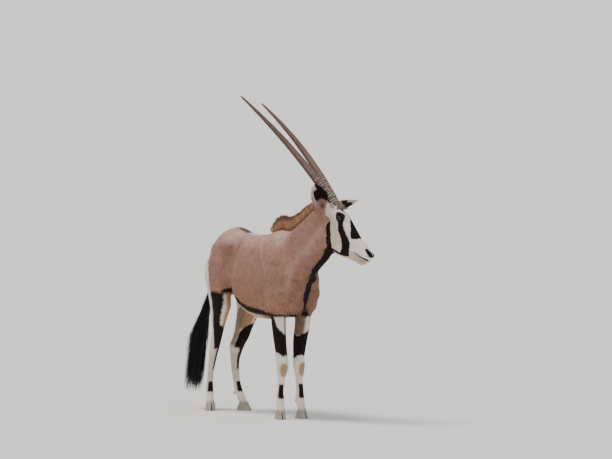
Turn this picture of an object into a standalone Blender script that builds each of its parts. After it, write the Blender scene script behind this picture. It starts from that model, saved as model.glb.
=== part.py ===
"""A life-size standing gemsbok (Oryx gazella), modelled as a museum figure.

The flesh is one smooth field: rounded lofts and ellipsoids, blended where
muscles meet. Its surface is meshed once, parted by thin cuts into head, neck,
torso and legs, and the horns, ears, eyes, hooves, mane and tail are seated on
it. The figure faces +X, its left side is +Y, and it stands on the XY plane.
"""

import math

import bmesh
import bpy
import numpy as np
from mathutils import Matrix, Vector

# Driving dimensions, in metres
GAP = 0.0003
SEAT_GAP = 0.0004
ROOT_GAP = 0.0007
HORN_LENGTHS = {-1: 0.894, 1: 0.857}
HORN_RADIUS = 0.0245
HORN_RINGS = 22
HORN_RINGED = 0.46
HORN_BACK = 0.980
HORN_SPREAD = 0.200
HORN_DROPS = {-1: 0.033, 1: 0.022}
HORN_BOWS = {-1: 0.026, 1: 0.036}
EYE_RADIUS = 0.0185
EAR_LENGTH = 0.175
EAR_WIDTH = 0.084
EAR_THICKNESS = 0.0055
HOOF_HEIGHT = 0.052
MANE_LOCKS = 42
LOCK_WIDTH = 0.019
ROOT_DEPTH = 0.012
TUFT_LOCKS = 22
TAIL_RADIUS = 0.023

# The head's own frame: its origin is the poll, between the ears
POLL = Vector((0.735, 0.098, 1.398))
HEAD_YAW = math.radians(40)
HEAD_PITCH = math.radians(51)
HEAD_ROLL = math.radians(8)
HORN_ROOT = Vector((0.040, 0.032, -0.017))
EYE_CENTRE = Vector((0.133, 0.0460, -0.039))
EAR_ROOT = Vector((0.014, 0.063, -0.078))

# Where the hooves stand, by (hind?, side): x, y and toe-out in degrees
FEET = {
    (False, -1): (0.362, -0.070, 14),
    (False, 1): (0.366, 0.082, 5),
    (True, -1): (-0.496, -0.094, 20),
    (True, 1): (-0.404, 0.099, 26),
}
KNEE_HEIGHT = 0.338

# Sections down each leg: x, y, height, half-width and half-depth
FORELEGS = {
    -1: [
        (0.352, -0.100, 0.755, 0.040, 0.060),
        (0.350, -0.081, 0.665, 0.046, 0.062),
        (0.346, -0.072, 0.580, 0.045, 0.056),
        (0.345, -0.063, 0.490, 0.041, 0.048),
        (0.347, -0.052, 0.395, 0.0385, 0.042),
        (0.350, -0.046, KNEE_HEIGHT, 0.0405, 0.042),
        (0.346, -0.048, 0.290, 0.0330, 0.034),
        (0.340, -0.0525, 0.235, 0.0225, 0.0265),
        (0.338, -0.0575, 0.165, 0.0220, 0.0265),
        (0.338, -0.0570, 0.130, 0.0275, 0.0300),
        (0.350, -0.063, 0.090, 0.0265, 0.0270),
        (0.364, -0.070, 0.050, 0.0290, 0.0300),
    ],
    1: [
        (0.345, 0.112, 0.755, 0.036, 0.062),
        (0.338, 0.110, 0.665, 0.041, 0.070),
        (0.330, 0.106, 0.580, 0.042, 0.062),
        (0.330, 0.091, 0.490, 0.040, 0.056),
        (0.334, 0.080, 0.395, 0.0350, 0.044),
        (0.339, 0.077, KNEE_HEIGHT, 0.0385, 0.043),
        (0.338, 0.080, 0.290, 0.0300, 0.035),
        (0.336, 0.0815, 0.235, 0.0225, 0.0290),
        (0.338, 0.0845, 0.165, 0.0230, 0.0300),
        (0.338, 0.0845, 0.130, 0.0285, 0.0325),
        (0.351, 0.083, 0.090, 0.0265, 0.0275),
        (0.368, 0.082, 0.050, 0.0290, 0.0300),
    ],
}
HINDLEGS = {
    -1: [
        (-0.302, -0.132, 0.780, 0.047, 0.084),
        (-0.300, -0.124, 0.690, 0.052, 0.098),
        (-0.334, -0.118, 0.620, 0.046, 0.083),
        (-0.362, -0.110, 0.560, 0.039, 0.064),
        (-0.388, -0.102, 0.510, 0.034, 0.052),
        (-0.418, -0.094, 0.462, 0.031, 0.049),
        (-0.447, -0.089, 0.415, 0.030, 0.046),
        (-0.472, -0.0865, 0.360, 0.0260, 0.038),
        (-0.486, -0.086, 0.315, 0.0230, 0.033),
        (-0.505, -0.0875, 0.250, 0.0200, 0.0265),
        (-0.520, -0.084, 0.175, 0.0205, 0.0260),
        (-0.528, -0.083, 0.130, 0.0260, 0.0300),
        (-0.514, -0.088, 0.090, 0.0260, 0.0275),
        (-0.497, -0.094, 0.050, 0.0285, 0.0300),
    ],
    1: [
        (-0.330, 0.138, 0.780, 0.044, 0.085),
        (-0.350, 0.134, 0.690, 0.050, 0.098),
        (-0.390, 0.127, 0.620, 0.043, 0.080),
        (-0.430, 0.126, 0.560, 0.038, 0.072),
        (-0.440, 0.116, 0.510, 0.034, 0.064),
        (-0.452, 0.104, 0.462, 0.034, 0.061),
        (-0.472, 0.092, 0.415, 0.031, 0.055),
        (-0.485, 0.086, 0.360, 0.0275, 0.042),
        (-0.492, 0.0845, 0.315, 0.0240, 0.034),
        (-0.487, 0.0835, 0.250, 0.0215, 0.0295),
        (-0.465, 0.0835, 0.175, 0.0205, 0.0265),
        (-0.449, 0.0845, 0.130, 0.0255, 0.0300),
        (-0.430, 0.0915, 0.090, 0.0260, 0.0280),
        (-0.408, 0.098, 0.050, 0.0285, 0.0300),
    ],
}
# The tendon and heel behind each hock: x, y, height, distance back, half-depth
TENDONS = {
    -1: [
        (-0.350, -0.110, 0.610, 0.060, 0.024),
        (-0.371, -0.106, 0.560, 0.050, 0.017),
        (-0.400, -0.100, 0.510, 0.045, 0.015),
        (-0.436, -0.092, 0.462, 0.040, 0.018),
        (-0.456, -0.088, 0.425, 0.037, 0.021),
        (-0.472, -0.087, 0.385, 0.031, 0.018),
    ],
    1: [
        (-0.430, 0.126, 0.610, 0.045, 0.026),
        (-0.440, 0.120, 0.560, 0.046, 0.018),
        (-0.448, 0.112, 0.510, 0.044, 0.015),
        (-0.458, 0.104, 0.462, 0.041, 0.017),
        (-0.472, 0.094, 0.425, 0.041, 0.020),
        (-0.483, 0.088, 0.385, 0.034, 0.019),
    ],
}

# Planes that part the flesh: heights of level cuts, and the neck's two slanted cuts
LEG_CUT = 0.602
KNEE_CUT = 0.292
HOCK_CUT = 0.352
NECK_CUT = (0.500, 0.0, 1.030)
NECK_CUT_NORMAL = (0.78, 0.08, 0.62)
HEAD_CUT = (-0.100, 0.0, 0.0)
HEAD_CUT_NORMAL = (0.60, 0.0, 0.80)

# How finely the surface is sampled, where, and how many triangles it keeps
CELL = 0.006
HEAD_CELL = 0.0033
BLOCK = 12
BODY_BOX = ((-0.62, -0.25, 0.02), (0.82, 0.27, 1.43))
HEAD_BOX = ((0.56, -0.08, 0.98), (1.03, 0.44, 1.46))
BODY_TRIANGLES = 4200
HEAD_TRIANGLES = 3900

COLOURS = {
    "coat": (0.42, 0.30, 0.24),
    "face": (0.78, 0.74, 0.68),
    "leg_dark": (0.055, 0.038, 0.035),
    "leg_pale": (0.74, 0.70, 0.64),
    "horn": (0.22, 0.18, 0.15),
    "hoof": (0.05, 0.045, 0.042),
    "eye": (0.02, 0.012, 0.010),
    "mane": (0.36, 0.20, 0.12),
    "tail": (0.018, 0.016, 0.018),
}


def head_axes():
    """The head's forward, left and up directions in the world."""
    forward = Vector(
        (
            math.cos(HEAD_PITCH) * math.cos(HEAD_YAW),
            math.cos(HEAD_PITCH) * math.sin(HEAD_YAW),
            -math.sin(HEAD_PITCH),
        )
    )
    level_left = Vector((-math.sin(HEAD_YAW), math.cos(HEAD_YAW), 0))
    level_up = forward.cross(level_left)
    left = math.cos(HEAD_ROLL) * level_left - math.sin(HEAD_ROLL) * level_up
    return forward, left, forward.cross(left)


HEAD = head_axes()


def on_head(forward, left, up):
    """A point given in the head's frame, in the world."""
    return POLL + forward * HEAD[0] + left * HEAD[1] + up * HEAD[2]


def curve_through(rows, spans=10):
    """Rows of a table joined by a Catmull-Rom curve."""
    rows = np.asarray(rows, float)
    ends = np.vstack([2 * rows[0] - rows[1], rows, 2 * rows[-1] - rows[-2]])
    t = np.linspace(0, 1, spans, endpoint=False)[:, None]
    made = []
    for a, b, c, d in zip(ends, ends[1:], ends[2:], ends[3:]):
        slope, bend = c - a, 2 * a - 5 * b + 4 * c - d
        made.append(b + 0.5 * (slope * t + bend * t**2 + (3 * b - a - 3 * c + d) * t**3))
    return np.vstack(made + [rows[-1:]])


def blended(a, b, width):
    """The smaller of two fields, rounded over where they meet."""
    share = np.clip(0.5 + 0.5 * (b - a) / width, 0, 1)
    return b * (1 - share) + a * share - width * share * (1 - share)


class Flesh:
    """The animal's body as a field: negative inside, about metres outside."""

    def __init__(self):
        self.forms = []
        self.frames = {
            "body": (np.zeros(3), np.eye(3)),
            "head": (np.array(POLL), np.array([list(a) for a in HEAD])),
        }

    def add(self, low, high, measure, blend, frame, paired, carve):
        self.forms.append((low, high, measure, blend, frame, paired, carve))

    def loft(self, rows, axis=(0, 0, 1), side=(0, 1, 0), blend=0.03, cap=1.0, **how):
        """Elliptical sections (x, y, z, half-width, half-depth) along an axis."""
        table = curve_through(rows)
        axis = np.asarray(axis, float) / np.linalg.norm(axis)
        side = np.asarray(side, float) - np.dot(side, axis) * axis
        side /= np.linalg.norm(side)
        depth = np.cross(axis, side)
        table = table[np.argsort(table[:, :3] @ axis)]
        along = table[:, :3] @ axis
        across, deep = table[:, :3] @ side, table[:, :3] @ depth
        wide, thick = np.maximum(table[:, 3], 1e-3), np.maximum(table[:, 4], 1e-3)

        def measure(points):
            s = points @ axis
            held = np.clip(s, along[0], along[-1])
            w, h = np.interp(held, along, wide), np.interp(held, along, thick)
            a = points @ side - np.interp(held, along, across)
            b = points @ depth - np.interp(held, along, deep)
            c = s - held
            share = np.sqrt((a / w) ** 2 + (b / h) ** 2 + (2 * c / (cap * (w + h))) ** 2)
            return np.sqrt(a * a + b * b + c * c) * (1 - 1 / np.maximum(share, 1e-4))

        reach = max(wide.max(), thick.max()) * max(cap, 1)
        low, high = table[:, :3].min(0) - reach, table[:, :3].max(0) + reach
        self.finish(low, high, measure, blend, **how)

    def ball(self, centre, radii, blend=0.03, turn=0.0, **how):
        """An ellipsoid, turned by an angle about its Y axis."""
        centre, radii = np.asarray(centre, float), np.asarray(radii, float)
        c, s = math.cos(turn), math.sin(turn)
        axes = np.array([[c, 0, s], [0, 1, 0], [-s, 0, c]])

        def measure(points):
            off = points - centre
            share = np.sqrt((((off @ axes.T) / radii) ** 2).sum(1))
            return np.sqrt((off**2).sum(1)) * (1 - 1 / np.maximum(share, 1e-4))

        self.finish(centre - radii.max(), centre + radii.max(), measure, blend, **how)

    def finish(self, low, high, measure, blend, frame="body", paired=False, carve=False):
        self.add(low, high, measure, blend, frame, paired, carve)

    def at(self, points):
        """The field at points that lie close together."""
        centre = points.mean(0)
        radius = np.sqrt(((points - centre) ** 2).sum(1).max())
        field = np.full(len(points), 1.0)
        local = {}
        for low, high, measure, blend, frame, paired, carve in self.forms:
            if frame not in local:
                origin, axes = self.frames[frame]
                local[frame] = (points - origin) @ axes.T, (centre - origin) @ axes.T
            here, middle = local[frame]
            if paired:
                middle = np.array([middle[0], abs(middle[1]), middle[2]])
                here = here * np.array([1, 0, 1]) + np.abs(here) * np.array([0, 1, 0])
            margin = radius + blend + (radius if paired else 0)
            if (middle < low - margin).any() or (middle > high + margin).any():
                continue
            if carve:
                field = -blended(-field, measure(here), blend)
            else:
                field = blended(field, measure(here), blend)
        return field


def shape_trunk(flesh):
    # Chest, barrel, loin and rump: x, y, z of the middle, half-width, half-height
    flesh.loft(
        [
            (0.485, 0, 0.885, 0.080, 0.130),
            (0.40, 0, 0.885, 0.128, 0.222),
            (0.26, 0, 0.882, 0.180, 0.258),
            (0.10, 0, 0.872, 0.218, 0.258),
            (0.04, 0, 0.873, 0.223, 0.256),
            (-0.02, 0, 0.876, 0.213, 0.250),
            (-0.08, 0, 0.883, 0.174, 0.243),
            (-0.14, 0, 0.898, 0.138, 0.234),
            (-0.20, 0, 0.918, 0.122, 0.222),
            (-0.30, 0, 0.955, 0.120, 0.198),
            (-0.40, 0, 0.965, 0.118, 0.170),
            (-0.475, 0, 0.960, 0.090, 0.130),
        ],
        axis=(1, 0, 0),
        blend=0.05,
        cap=0.55,
    )
    # Withers and the ridge of the back
    flesh.loft(
        [
            (0.42, 0, 1.075, 0.050, 0.065),
            (0.33, 0, 1.115, 0.056, 0.070),
            (0.22, 0, 1.105, 0.050, 0.058),
            (0.06, 0, 1.085, 0.042, 0.042),
            (-0.12, 0, 1.090, 0.050, 0.040),
            (-0.27, 0, 1.110, 0.075, 0.055),
            (-0.38, 0, 1.092, 0.080, 0.055),
            (-0.49, 0, 1.030, 0.050, 0.050),
        ],
        axis=(1, 0, 0),
        blend=0.08,
    )
    # Brisket, between the forelegs
    flesh.ball((0.425, 0, 0.735), (0.085, 0.070, 0.085), blend=0.07)
    # Hip bones
    flesh.ball((-0.245, 0.104, 1.070), (0.046, 0.036, 0.030), blend=0.05, paired=True)
    # The hollow in front of each hip
    hollow = (-0.150, 0.172, 1.010)
    flesh.ball(hollow, (0.075, 0.050, 0.095), blend=0.04, turn=0.35, paired=True, carve=True)


def shape_shoulders(flesh):
    # Shoulder blade, down to the point of the shoulder
    flesh.loft(
        [
            (0.27, 0.060, 1.100, 0.040, 0.060),
            (0.34, 0.106, 0.985, 0.050, 0.085),
            (0.41, 0.114, 0.870, 0.050, 0.088),
            (0.435, 0.106, 0.800, 0.046, 0.066),
        ],
        axis=(0.45, 0, -1),
        blend=0.07,
        paired=True,
    )
    # Muscle behind the upper arm, which ends in an edge over the ribs
    flesh.loft(
        [
            (0.398, 0.116, 0.975, 0.042, 0.046),
            (0.386, 0.134, 0.890, 0.049, 0.056),
            (0.388, 0.136, 0.800, 0.047, 0.055),
            (0.382, 0.126, 0.725, 0.042, 0.044),
        ],
        axis=(0, 0, -1),
        blend=0.022,
        paired=True,
    )
    # Upper arm, back to the elbow
    flesh.loft(
        [
            (0.435, 0.104, 0.790, 0.044, 0.062),
            (0.370, 0.116, 0.735, 0.048, 0.076),
            (0.310, 0.112, 0.690, 0.036, 0.046),
        ],
        axis=(-1, 0, -0.7),
        blend=0.05,
        paired=True,
    )


def shape_haunches(flesh):
    # Front of the thigh, from the hip to the stifle
    flesh.loft(
        [
            (-0.300, 0.100, 1.040, 0.040, 0.070),
            (-0.350, 0.120, 0.950, 0.058, 0.105),
            (-0.335, 0.134, 0.850, 0.060, 0.112),
            (-0.302, 0.140, 0.760, 0.054, 0.088),
            (-0.300, 0.138, 0.700, 0.044, 0.070),
        ],
        blend=0.07,
        paired=True,
    )
    # Back of the thigh, from the pin bone down to the gaskin
    for side, low_x, low_y in ((-1, -0.418, 0.106), (1, -0.440, 0.100)):
        flesh.loft(
            [
                (-0.435, side * 0.060, 1.020, 0.040, 0.060),
                (-0.450, side * 0.080, 0.930, 0.052, 0.074),
                (-0.430, side * 0.094, 0.810, 0.050, 0.072),
                (low_x + 0.010, side * 0.104, 0.690, 0.036, 0.052),
                (low_x - 0.004, side * low_y, 0.590, 0.022, 0.026),
            ],
            blend=0.05,
        )


def shape_neck(flesh):
    # Middle line from inside the chest to the back of the jaw
    flesh.loft(
        [
            (0.30, 0.0, 0.900, 0.120, 0.200),
            (0.42, 0.0, 0.985, 0.098, 0.190),
            (0.503, 0.008, 1.033, 0.084, 0.172),
            (0.578, 0.022, 1.083, 0.075, 0.161),
            (0.646, 0.045, 1.135, 0.067, 0.153),
            (0.692, 0.068, 1.196, 0.060, 0.128),
        ],
        axis=(0.76, 0.10, 0.64),
        blend=0.05,
        cap=0.7,
    )
    # Nape, up to the poll
    flesh.loft(
        [
            (0.40, 0.0, 1.100, 0.045, 0.060),
            (0.52, 0.010, 1.175, 0.042, 0.060),
            (0.62, 0.040, 1.260, 0.044, 0.060),
            (0.685, 0.068, 1.312, 0.044, 0.050),
        ],
        axis=(0.80, 0.18, 0.62),
        blend=0.06,
    )
    # The strap of muscle down each side of the neck, to the shoulder
    for side, bend in ((-1, 0.0), (1, 0.018)):
        flesh.loft(
            [
                (0.540, side * 0.050 + bend, 0.900, 0.026, 0.030),
                (0.560, side * 0.050 + bend, 0.994, 0.027, 0.032),
                (0.590, side * 0.042 + 0.022 + bend, 1.113, 0.026, 0.030),
                (0.648, side * 0.036 + 0.062, 1.275, 0.020, 0.026),
            ],
            blend=0.030,
        )


def shape_legs(flesh):
    for side, toe_out in ((-1, 14), (1, 5)):
        shape_leg(flesh, FORELEGS[side], side, toe_out, 0.025)
        x, y = FORELEGS[side][1][:2]
        flesh.ball((x - 0.048, y, 0.672), (0.024, 0.018, 0.028), blend=0.04)
        x, y = FORELEGS[side][5][:2]
        flesh.ball((x - 0.026, y, KNEE_HEIGHT + 0.012), (0.014, 0.014, 0.020), blend=0.02)
    for side, turn in ((-1, 3), (1, 20)):
        shape_leg(flesh, HINDLEGS[side], side, turn, 0.03)
        ahead, across = facing(side, turn)
        rows = [
            (x - back * ahead.x, y - back * ahead.y, z, 0.012, deep)
            for x, y, z, back, deep in TENDONS[side]
        ]
        flesh.loft(rows, side=across, blend=0.022)


def facing(side, toe_out):
    """Forward and sideways directions of a foot turned out by an angle."""
    turn = math.radians(toe_out) * side
    return Vector((math.cos(turn), math.sin(turn), 0)), (-math.sin(turn), math.cos(turn), 0)


def shape_leg(flesh, rows, side, turn, blend):
    """One leg down into its hooves, with the false hooves behind the fetlock."""
    across = facing(side, turn)[1]
    flesh.loft(rows, side=across, blend=blend, cap=0.5)
    x, y = rows[-3][:2]
    ahead, across = facing(side, FEET[rows is HINDLEGS[side], side][2])
    for step in (-1, 1):
        spot = Vector((x, y, 0.108)) - 0.025 * ahead + 0.0125 * step * Vector(across)
        flesh.ball(spot, (0.0115, 0.0100, 0.0135), blend=0.008, turn=-0.3)


def shape_head(flesh):
    head = {"frame": "head"}
    # Brain case, face and muzzle, along the top line of the head
    flesh.loft(
        [
            (-0.010, 0, -0.090, 0.046, 0.056),
            (0.045, 0, -0.070, 0.062, 0.064),
            (0.105, 0, -0.062, 0.062, 0.066),
            (0.155, 0, -0.056, 0.054, 0.066),
            (0.235, 0, -0.056, 0.043, 0.056),
            (0.305, 0, -0.060, 0.0375, 0.050),
            (0.365, 0, -0.057, 0.0385, 0.049),
            (0.416, 0, -0.060, 0.0375, 0.046),
        ],
        axis=(1, 0, 0),
        blend=0.025,
        cap=0.62,
        **head,
    )
    # Lower jaw, deep at its angle and rising to the chin
    flesh.loft(
        [
            (0.105, 0, -0.112, 0.044, 0.042),
            (0.160, 0, -0.134, 0.042, 0.046),
            (0.210, 0, -0.152, 0.037, 0.048),
            (0.260, 0, -0.155, 0.031, 0.050),
            (0.315, 0, -0.138, 0.026, 0.045),
            (0.360, 0, -0.120, 0.024, 0.033),
            (0.408, 0, -0.102, 0.0245, 0.0225),
            (0.434, 0, -0.097, 0.0225, 0.0175),
        ],
        axis=(1, 0, 0),
        blend=0.045,
        cap=0.55,
        **head,
    )
    # Cheek muscle, the ridge under the eye, and the brow
    flesh.ball((0.165, 0.027, -0.118), (0.095, 0.026, 0.056), 0.05, -0.50, paired=True, **head)
    flesh.ball((0.185, 0.034, -0.074), (0.085, 0.014, 0.016), 0.04, 0.06, paired=True, **head)
    flesh.ball((0.126, 0.0520, -0.019), (0.034, 0.011, 0.010), 0.022, -0.12, paired=True, **head)
    # Horn pedicles, and the swellings that carry the ears
    flesh.ball((0.045, 0.031, -0.018), (0.030, 0.027, 0.022), 0.02, 0.0, paired=True, **head)
    flesh.ball((0.022, 0.046, -0.070), (0.028, 0.018, 0.026), 0.055, 0.0, paired=True, **head)
    # Upper lip and the wing of the nostril
    flesh.ball((0.418, 0.020, -0.068), (0.036, 0.019, 0.022), 0.02, 0.10, paired=True, **head)
    flesh.ball((0.416, 0.024, -0.034), (0.032, 0.0155, 0.020), 0.014, 0.3, paired=True, **head)


def carve_face(flesh):
    """The nostrils and the line of the mouth."""
    head = {"frame": "head", "paired": True}
    flesh.ball((0.436, 0.0330, -0.038), (0.0230, 0.0080, 0.0068), 0.005, 0.10, carve=True, **head)
    flesh.loft(
        [
            (0.458, 0.004, -0.074, 0.0070, 0.0024),
            (0.446, 0.022, -0.080, 0.0070, 0.0024),
            (0.420, 0.036, -0.091, 0.0070, 0.0024),
            (0.392, 0.037, -0.100, 0.0065, 0.0022),
            (0.366, 0.035, -0.107, 0.0050, 0.0020),
        ],
        axis=(-1, 0, 0),
        blend=0.003,
        carve=True,
        **head,
    )


def shape_lids(flesh):
    """A raised rim round each eye, thicker above than below."""
    for step in range(16):
        angle = 2 * math.pi * step / 16
        thick = 0.0046 if math.sin(angle) > -0.1 else 0.0038
        centre = (
            EYE_CENTRE.x + 0.0205 * math.cos(angle),
            EYE_CENTRE.y + 0.0105 - 0.0040 * abs(math.cos(angle)),
            EYE_CENTRE.z + 0.0140 * math.sin(angle),
        )
        flesh.ball(centre, (thick + 0.001, thick, thick), 0.006, paired=True, frame="head")


def shape_flesh():
    flesh = Flesh()
    shape_trunk(flesh)
    shape_shoulders(flesh)
    shape_haunches(flesh)
    shape_neck(flesh)
    shape_legs(flesh)
    shape_head(flesh)
    shape_lids(flesh)
    carve_face(flesh)
    return flesh


def sample(flesh, low, high, cell):
    """The field on a grid, worked out only in the blocks near the surface."""
    low = np.asarray(low, float)
    blocks = np.ceil((np.asarray(high) - low) / cell / BLOCK).astype(int)
    grid = np.full(blocks * BLOCK + 1, 1.0, np.float32)
    corner = np.stack(np.meshgrid(*[np.arange(BLOCK + 1)] * 3, indexing="ij"), -1)
    corner = corner.reshape(-1, 3)
    half = BLOCK * cell / 2
    reach = half * math.sqrt(3) * 1.35
    for block in np.ndindex(*blocks):
        start = np.array(block) * BLOCK
        middle = low + start * cell + half
        value = flesh.at(middle[None])[0]
        part = tuple(slice(s, s + BLOCK + 1) for s in start)
        if abs(value) < reach:
            grid[part] = flesh.at(low + (start + corner) * cell).reshape([BLOCK + 1] * 3)
        elif value < 0:
            grid[part] = -1.0
    return grid


def without_pinches(grid):
    """Fill grid corners where the surface would touch itself along an edge or at a point."""
    cube = list(np.ndindex(2, 2, 2))
    for _ in range(8):
        inside = grid < 0
        found = []
        for axis in range(3):
            u, v = (axis + 1) % 3, (axis + 2) % 3
            views = {}
            for du, dv in np.ndindex(2, 2):
                cut = [slice(None)] * 3
                cut[u], cut[v] = slice(du, du - 1 or None), slice(dv, dv - 1 or None)
                views[du, dv] = inside[tuple(cut)]
            same = (views[0, 0] == views[1, 1]) & (views[0, 1] == views[1, 0])
            pinched = np.argwhere(same & (views[0, 0] != views[0, 1]))
            for du, dv in np.ndindex(2, 2):
                step = np.zeros(3, int)
                step[u], step[v] = du, dv
                found.append(pinched + step)
        views = [inside[tuple(slice(o, o - 1 or None) for o in c)] for c in cube]
        total = sum(view.astype(np.uint8) for view in views)
        for one, other in ((0, 7), (1, 6), (2, 5), (3, 4)):
            lone = (total == 2) & views[one] & views[other]
            lone |= (total == 6) & ~views[one] & ~views[other]
            corner = np.argwhere(lone)
            found += [corner + np.array(c) for c in cube]
        spots = np.unique(np.vstack(found), axis=0)
        if not len(spots):
            break
        at = tuple(spots.T)
        grid[at] = np.where(grid[at] < 0, grid[at], -2e-5)
    return grid


def surface(grid, low, cell):
    """Corners and quads of the zero surface: one corner in each cell that it crosses."""
    grid = without_pinches(grid)
    inside = grid < 0
    count = np.zeros(np.array(grid.shape) - 1, np.uint8)
    corners = list(np.ndindex(2, 2, 2))
    for c in corners:
        count += inside[tuple(slice(o, o + n) for o, n in zip(c, count.shape))]
    cells = np.argwhere((count > 0) & (count < 8))
    number = np.full(count.shape, -1, np.int32)
    number[tuple(cells.T)] = np.arange(len(cells))
    total, found = np.zeros((len(cells), 3)), np.zeros(len(cells))
    for a in corners:
        for axis in range(3):
            if a[axis]:
                continue
            b = np.array(a)
            b[axis] = 1
            va, vb = grid[tuple((cells + a).T)], grid[tuple((cells + b).T)]
            crossed = (va < 0) != (vb < 0)
            share = va[crossed] / (va[crossed] - vb[crossed])
            total[crossed] += cells[crossed] + a + share[:, None] * (b - a)
            found[crossed] += 1
    points = np.asarray(low) + total / found[:, None] * cell
    quads = []
    for axis in range(3):
        u, v = (axis + 1) % 3, (axis + 2) % 3
        first = inside[tuple(slice(0, -1) if i == axis else slice(None) for i in range(3))]
        last = inside[tuple(slice(1, None) if i == axis else slice(None) for i in range(3))]
        edges = np.argwhere(first != last)
        edges = edges[(edges[:, u] > 0) & (edges[:, v] > 0)]
        edges = edges[(edges[:, u] < count.shape[u]) & (edges[:, v] < count.shape[v])]
        ring = []
        for du, dv in ((1, 1), (0, 1), (0, 0), (1, 0)):
            at = edges.copy()
            at[:, u] -= du
            at[:, v] -= dv
            ring.append(number[tuple(at.T)])
        ring = np.stack(ring, 1)
        outward = first[tuple(edges.T)]
        ring[~outward] = ring[~outward][:, ::-1]
        quads.append(ring)
    return points, np.vstack(quads)


def mesh_object(name, points, faces):
    mesh = bpy.data.meshes.new(name)
    mesh.from_pydata([tuple(p) for p in points], [], [tuple(f) for f in faces])
    thing = bpy.data.objects.new(name, mesh)
    bpy.context.scene.collection.objects.link(thing)
    return thing


def take_modifiers(thing):
    """Make an object's modifiers part of its mesh."""
    graph = bpy.context.evaluated_depsgraph_get()
    mesh = bpy.data.meshes.new_from_object(thing.evaluated_get(graph))
    thing.modifiers.clear()
    thing.data = mesh
    return thing


def flesh_object(name, flesh, low, high, cell, triangles):
    """The flesh inside a box, meshed and reduced to about that many triangles."""
    points, quads = surface(sample(flesh, low, high, cell), low, cell)
    thing = mesh_object(name, points, quads)
    reduce = thing.modifiers.new("reduce", "DECIMATE")
    reduce.ratio = triangles / (2 * len(quads))
    return take_modifiers(thing)


def boolean(thing, cutter, operation, solver="EXACT"):
    step = thing.modifiers.new(operation, "BOOLEAN")
    step.operation = operation
    step.solver = solver
    if isinstance(cutter, bpy.types.Collection):
        step.operand_type = "COLLECTION"
        step.collection = cutter
    else:
        step.object = cutter
    return take_modifiers(thing)


def discard(thing):
    bpy.data.objects.remove(thing)


def half(thing, name, point, normal, offset=GAP / 2):
    """A copy of the part that lies on the normal's side of a plane, closed again."""
    normal = Vector(normal).normalized()
    shape = bmesh.new()
    shape.from_mesh(thing.data)
    everything = shape.verts[:] + shape.edges[:] + shape.faces[:]
    bmesh.ops.bisect_plane(
        shape,
        geom=everything,
        dist=1e-6,
        plane_co=Vector(point) + offset * normal,
        plane_no=normal,
        clear_inner=True,
    )
    rim = [edge for edge in shape.edges if edge.is_boundary]
    caps = bmesh.ops.holes_fill(shape, edges=rim, sides=0)["faces"]
    bmesh.ops.poke(shape, faces=caps)
    piece = mesh_object(name, [], [])
    shape.to_mesh(piece.data)
    shape.free()
    return piece


def loose_pieces(thing):
    """The separate closed surfaces of a mesh, as lists of its faces, largest first."""
    shape = bmesh.new()
    shape.from_mesh(thing.data)
    shape.faces.ensure_lookup_table()
    seen, pieces = set(), []
    for face in shape.faces:
        if face.index in seen:
            continue
        seen.add(face.index)
        piece, queue = [], [face]
        while queue:
            here = queue.pop()
            piece.append(here.index)
            for edge in here.edges:
                for other in edge.link_faces:
                    if other.index not in seen:
                        seen.add(other.index)
                        queue.append(other)
        pieces.append(piece)
    shape.free()
    return sorted(pieces, key=len, reverse=True)


def piece_object(thing, name, piece):
    mesh = thing.data
    used = sorted({v for f in piece for v in mesh.polygons[f].vertices})
    number = {v: i for i, v in enumerate(used)}
    faces = [[number[v] for v in mesh.polygons[f].vertices] for f in piece]
    return mesh_object(name, [mesh.vertices[v].co for v in used], faces)


def keep_largest(thing):
    """The same object with only its largest closed surface."""
    name = thing.name
    whole = piece_object(thing, name + "_largest", loose_pieces(thing)[0])
    discard(thing)
    whole.name = name
    return whole


def swollen(thing, distance):
    """A copy with every corner moved outwards, to cut clearance with."""
    copy = mesh_object(thing.name + "_clearance", [], [])
    copy.data = thing.data.copy()
    moved = [v.co + distance * v.normal for v in copy.data.vertices]
    for vertex, place in zip(copy.data.vertices, moved):
        vertex.co = place
    copy.hide_render = True
    copy.display_type = "WIRE"
    return copy


def clear_of(thing, clearances):
    for clearance in clearances:
        boolean(thing, clearance, "DIFFERENCE")
    return keep_largest(thing)


def tube(name, sections):
    """A closed skin over rings of equally many corners."""
    count = len(sections[0])
    points = [p for ring in sections for p in ring]
    faces = []
    for low in range(0, (len(sections) - 1) * count, count):
        for i in range(count):
            j = (i + 1) % count
            faces.append((low + i, low + j, low + count + j, low + count + i))
    faces.append(range(count - 1, -1, -1))
    faces.append(range(len(points) - count, len(points)))
    return outward(mesh_object(name, points, faces))


def outward(thing):
    """Make every face of a closed mesh look outwards."""
    shape = bmesh.new()
    shape.from_mesh(thing.data)
    bmesh.ops.recalc_face_normals(shape, faces=shape.faces)
    if shape.calc_volume(signed=True) < 0:
        bmesh.ops.reverse_faces(shape, faces=shape.faces)
    shape.to_mesh(thing.data)
    shape.free()
    return thing


def frames_along(path, side):
    """At each point of a path: the point, its direction and two cross directions."""
    frames = []
    for i, point in enumerate(path):
        ahead = (path[min(i + 1, len(path) - 1)] - path[max(i - 1, 0)]).normalized()
        across = (side - side.dot(ahead) * ahead).normalized()
        frames.append((point, ahead, across, ahead.cross(across)))
    return frames


def ring(frame, wide, thick, corners):
    point, _, across, over = frame
    made = []
    for i in range(corners):
        angle = 2 * math.pi * i / corners
        made.append(point + wide * math.cos(angle) * across + thick * math.sin(angle) * over)
    return made


def horn_line(side, share):
    """The middle line of a horn: share 0 at the root, 1 at the tip."""
    length = HORN_LENGTHS[side]
    back = HORN_ROOT.x - HORN_BACK * length * share
    out = HORN_ROOT.y + HORN_SPREAD * length * share
    up = HORN_ROOT.z - HORN_DROPS[side] * length * share + HORN_BOWS[side] * 4 * share * (1 - share)
    return on_head(back, side * out, up)


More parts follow.
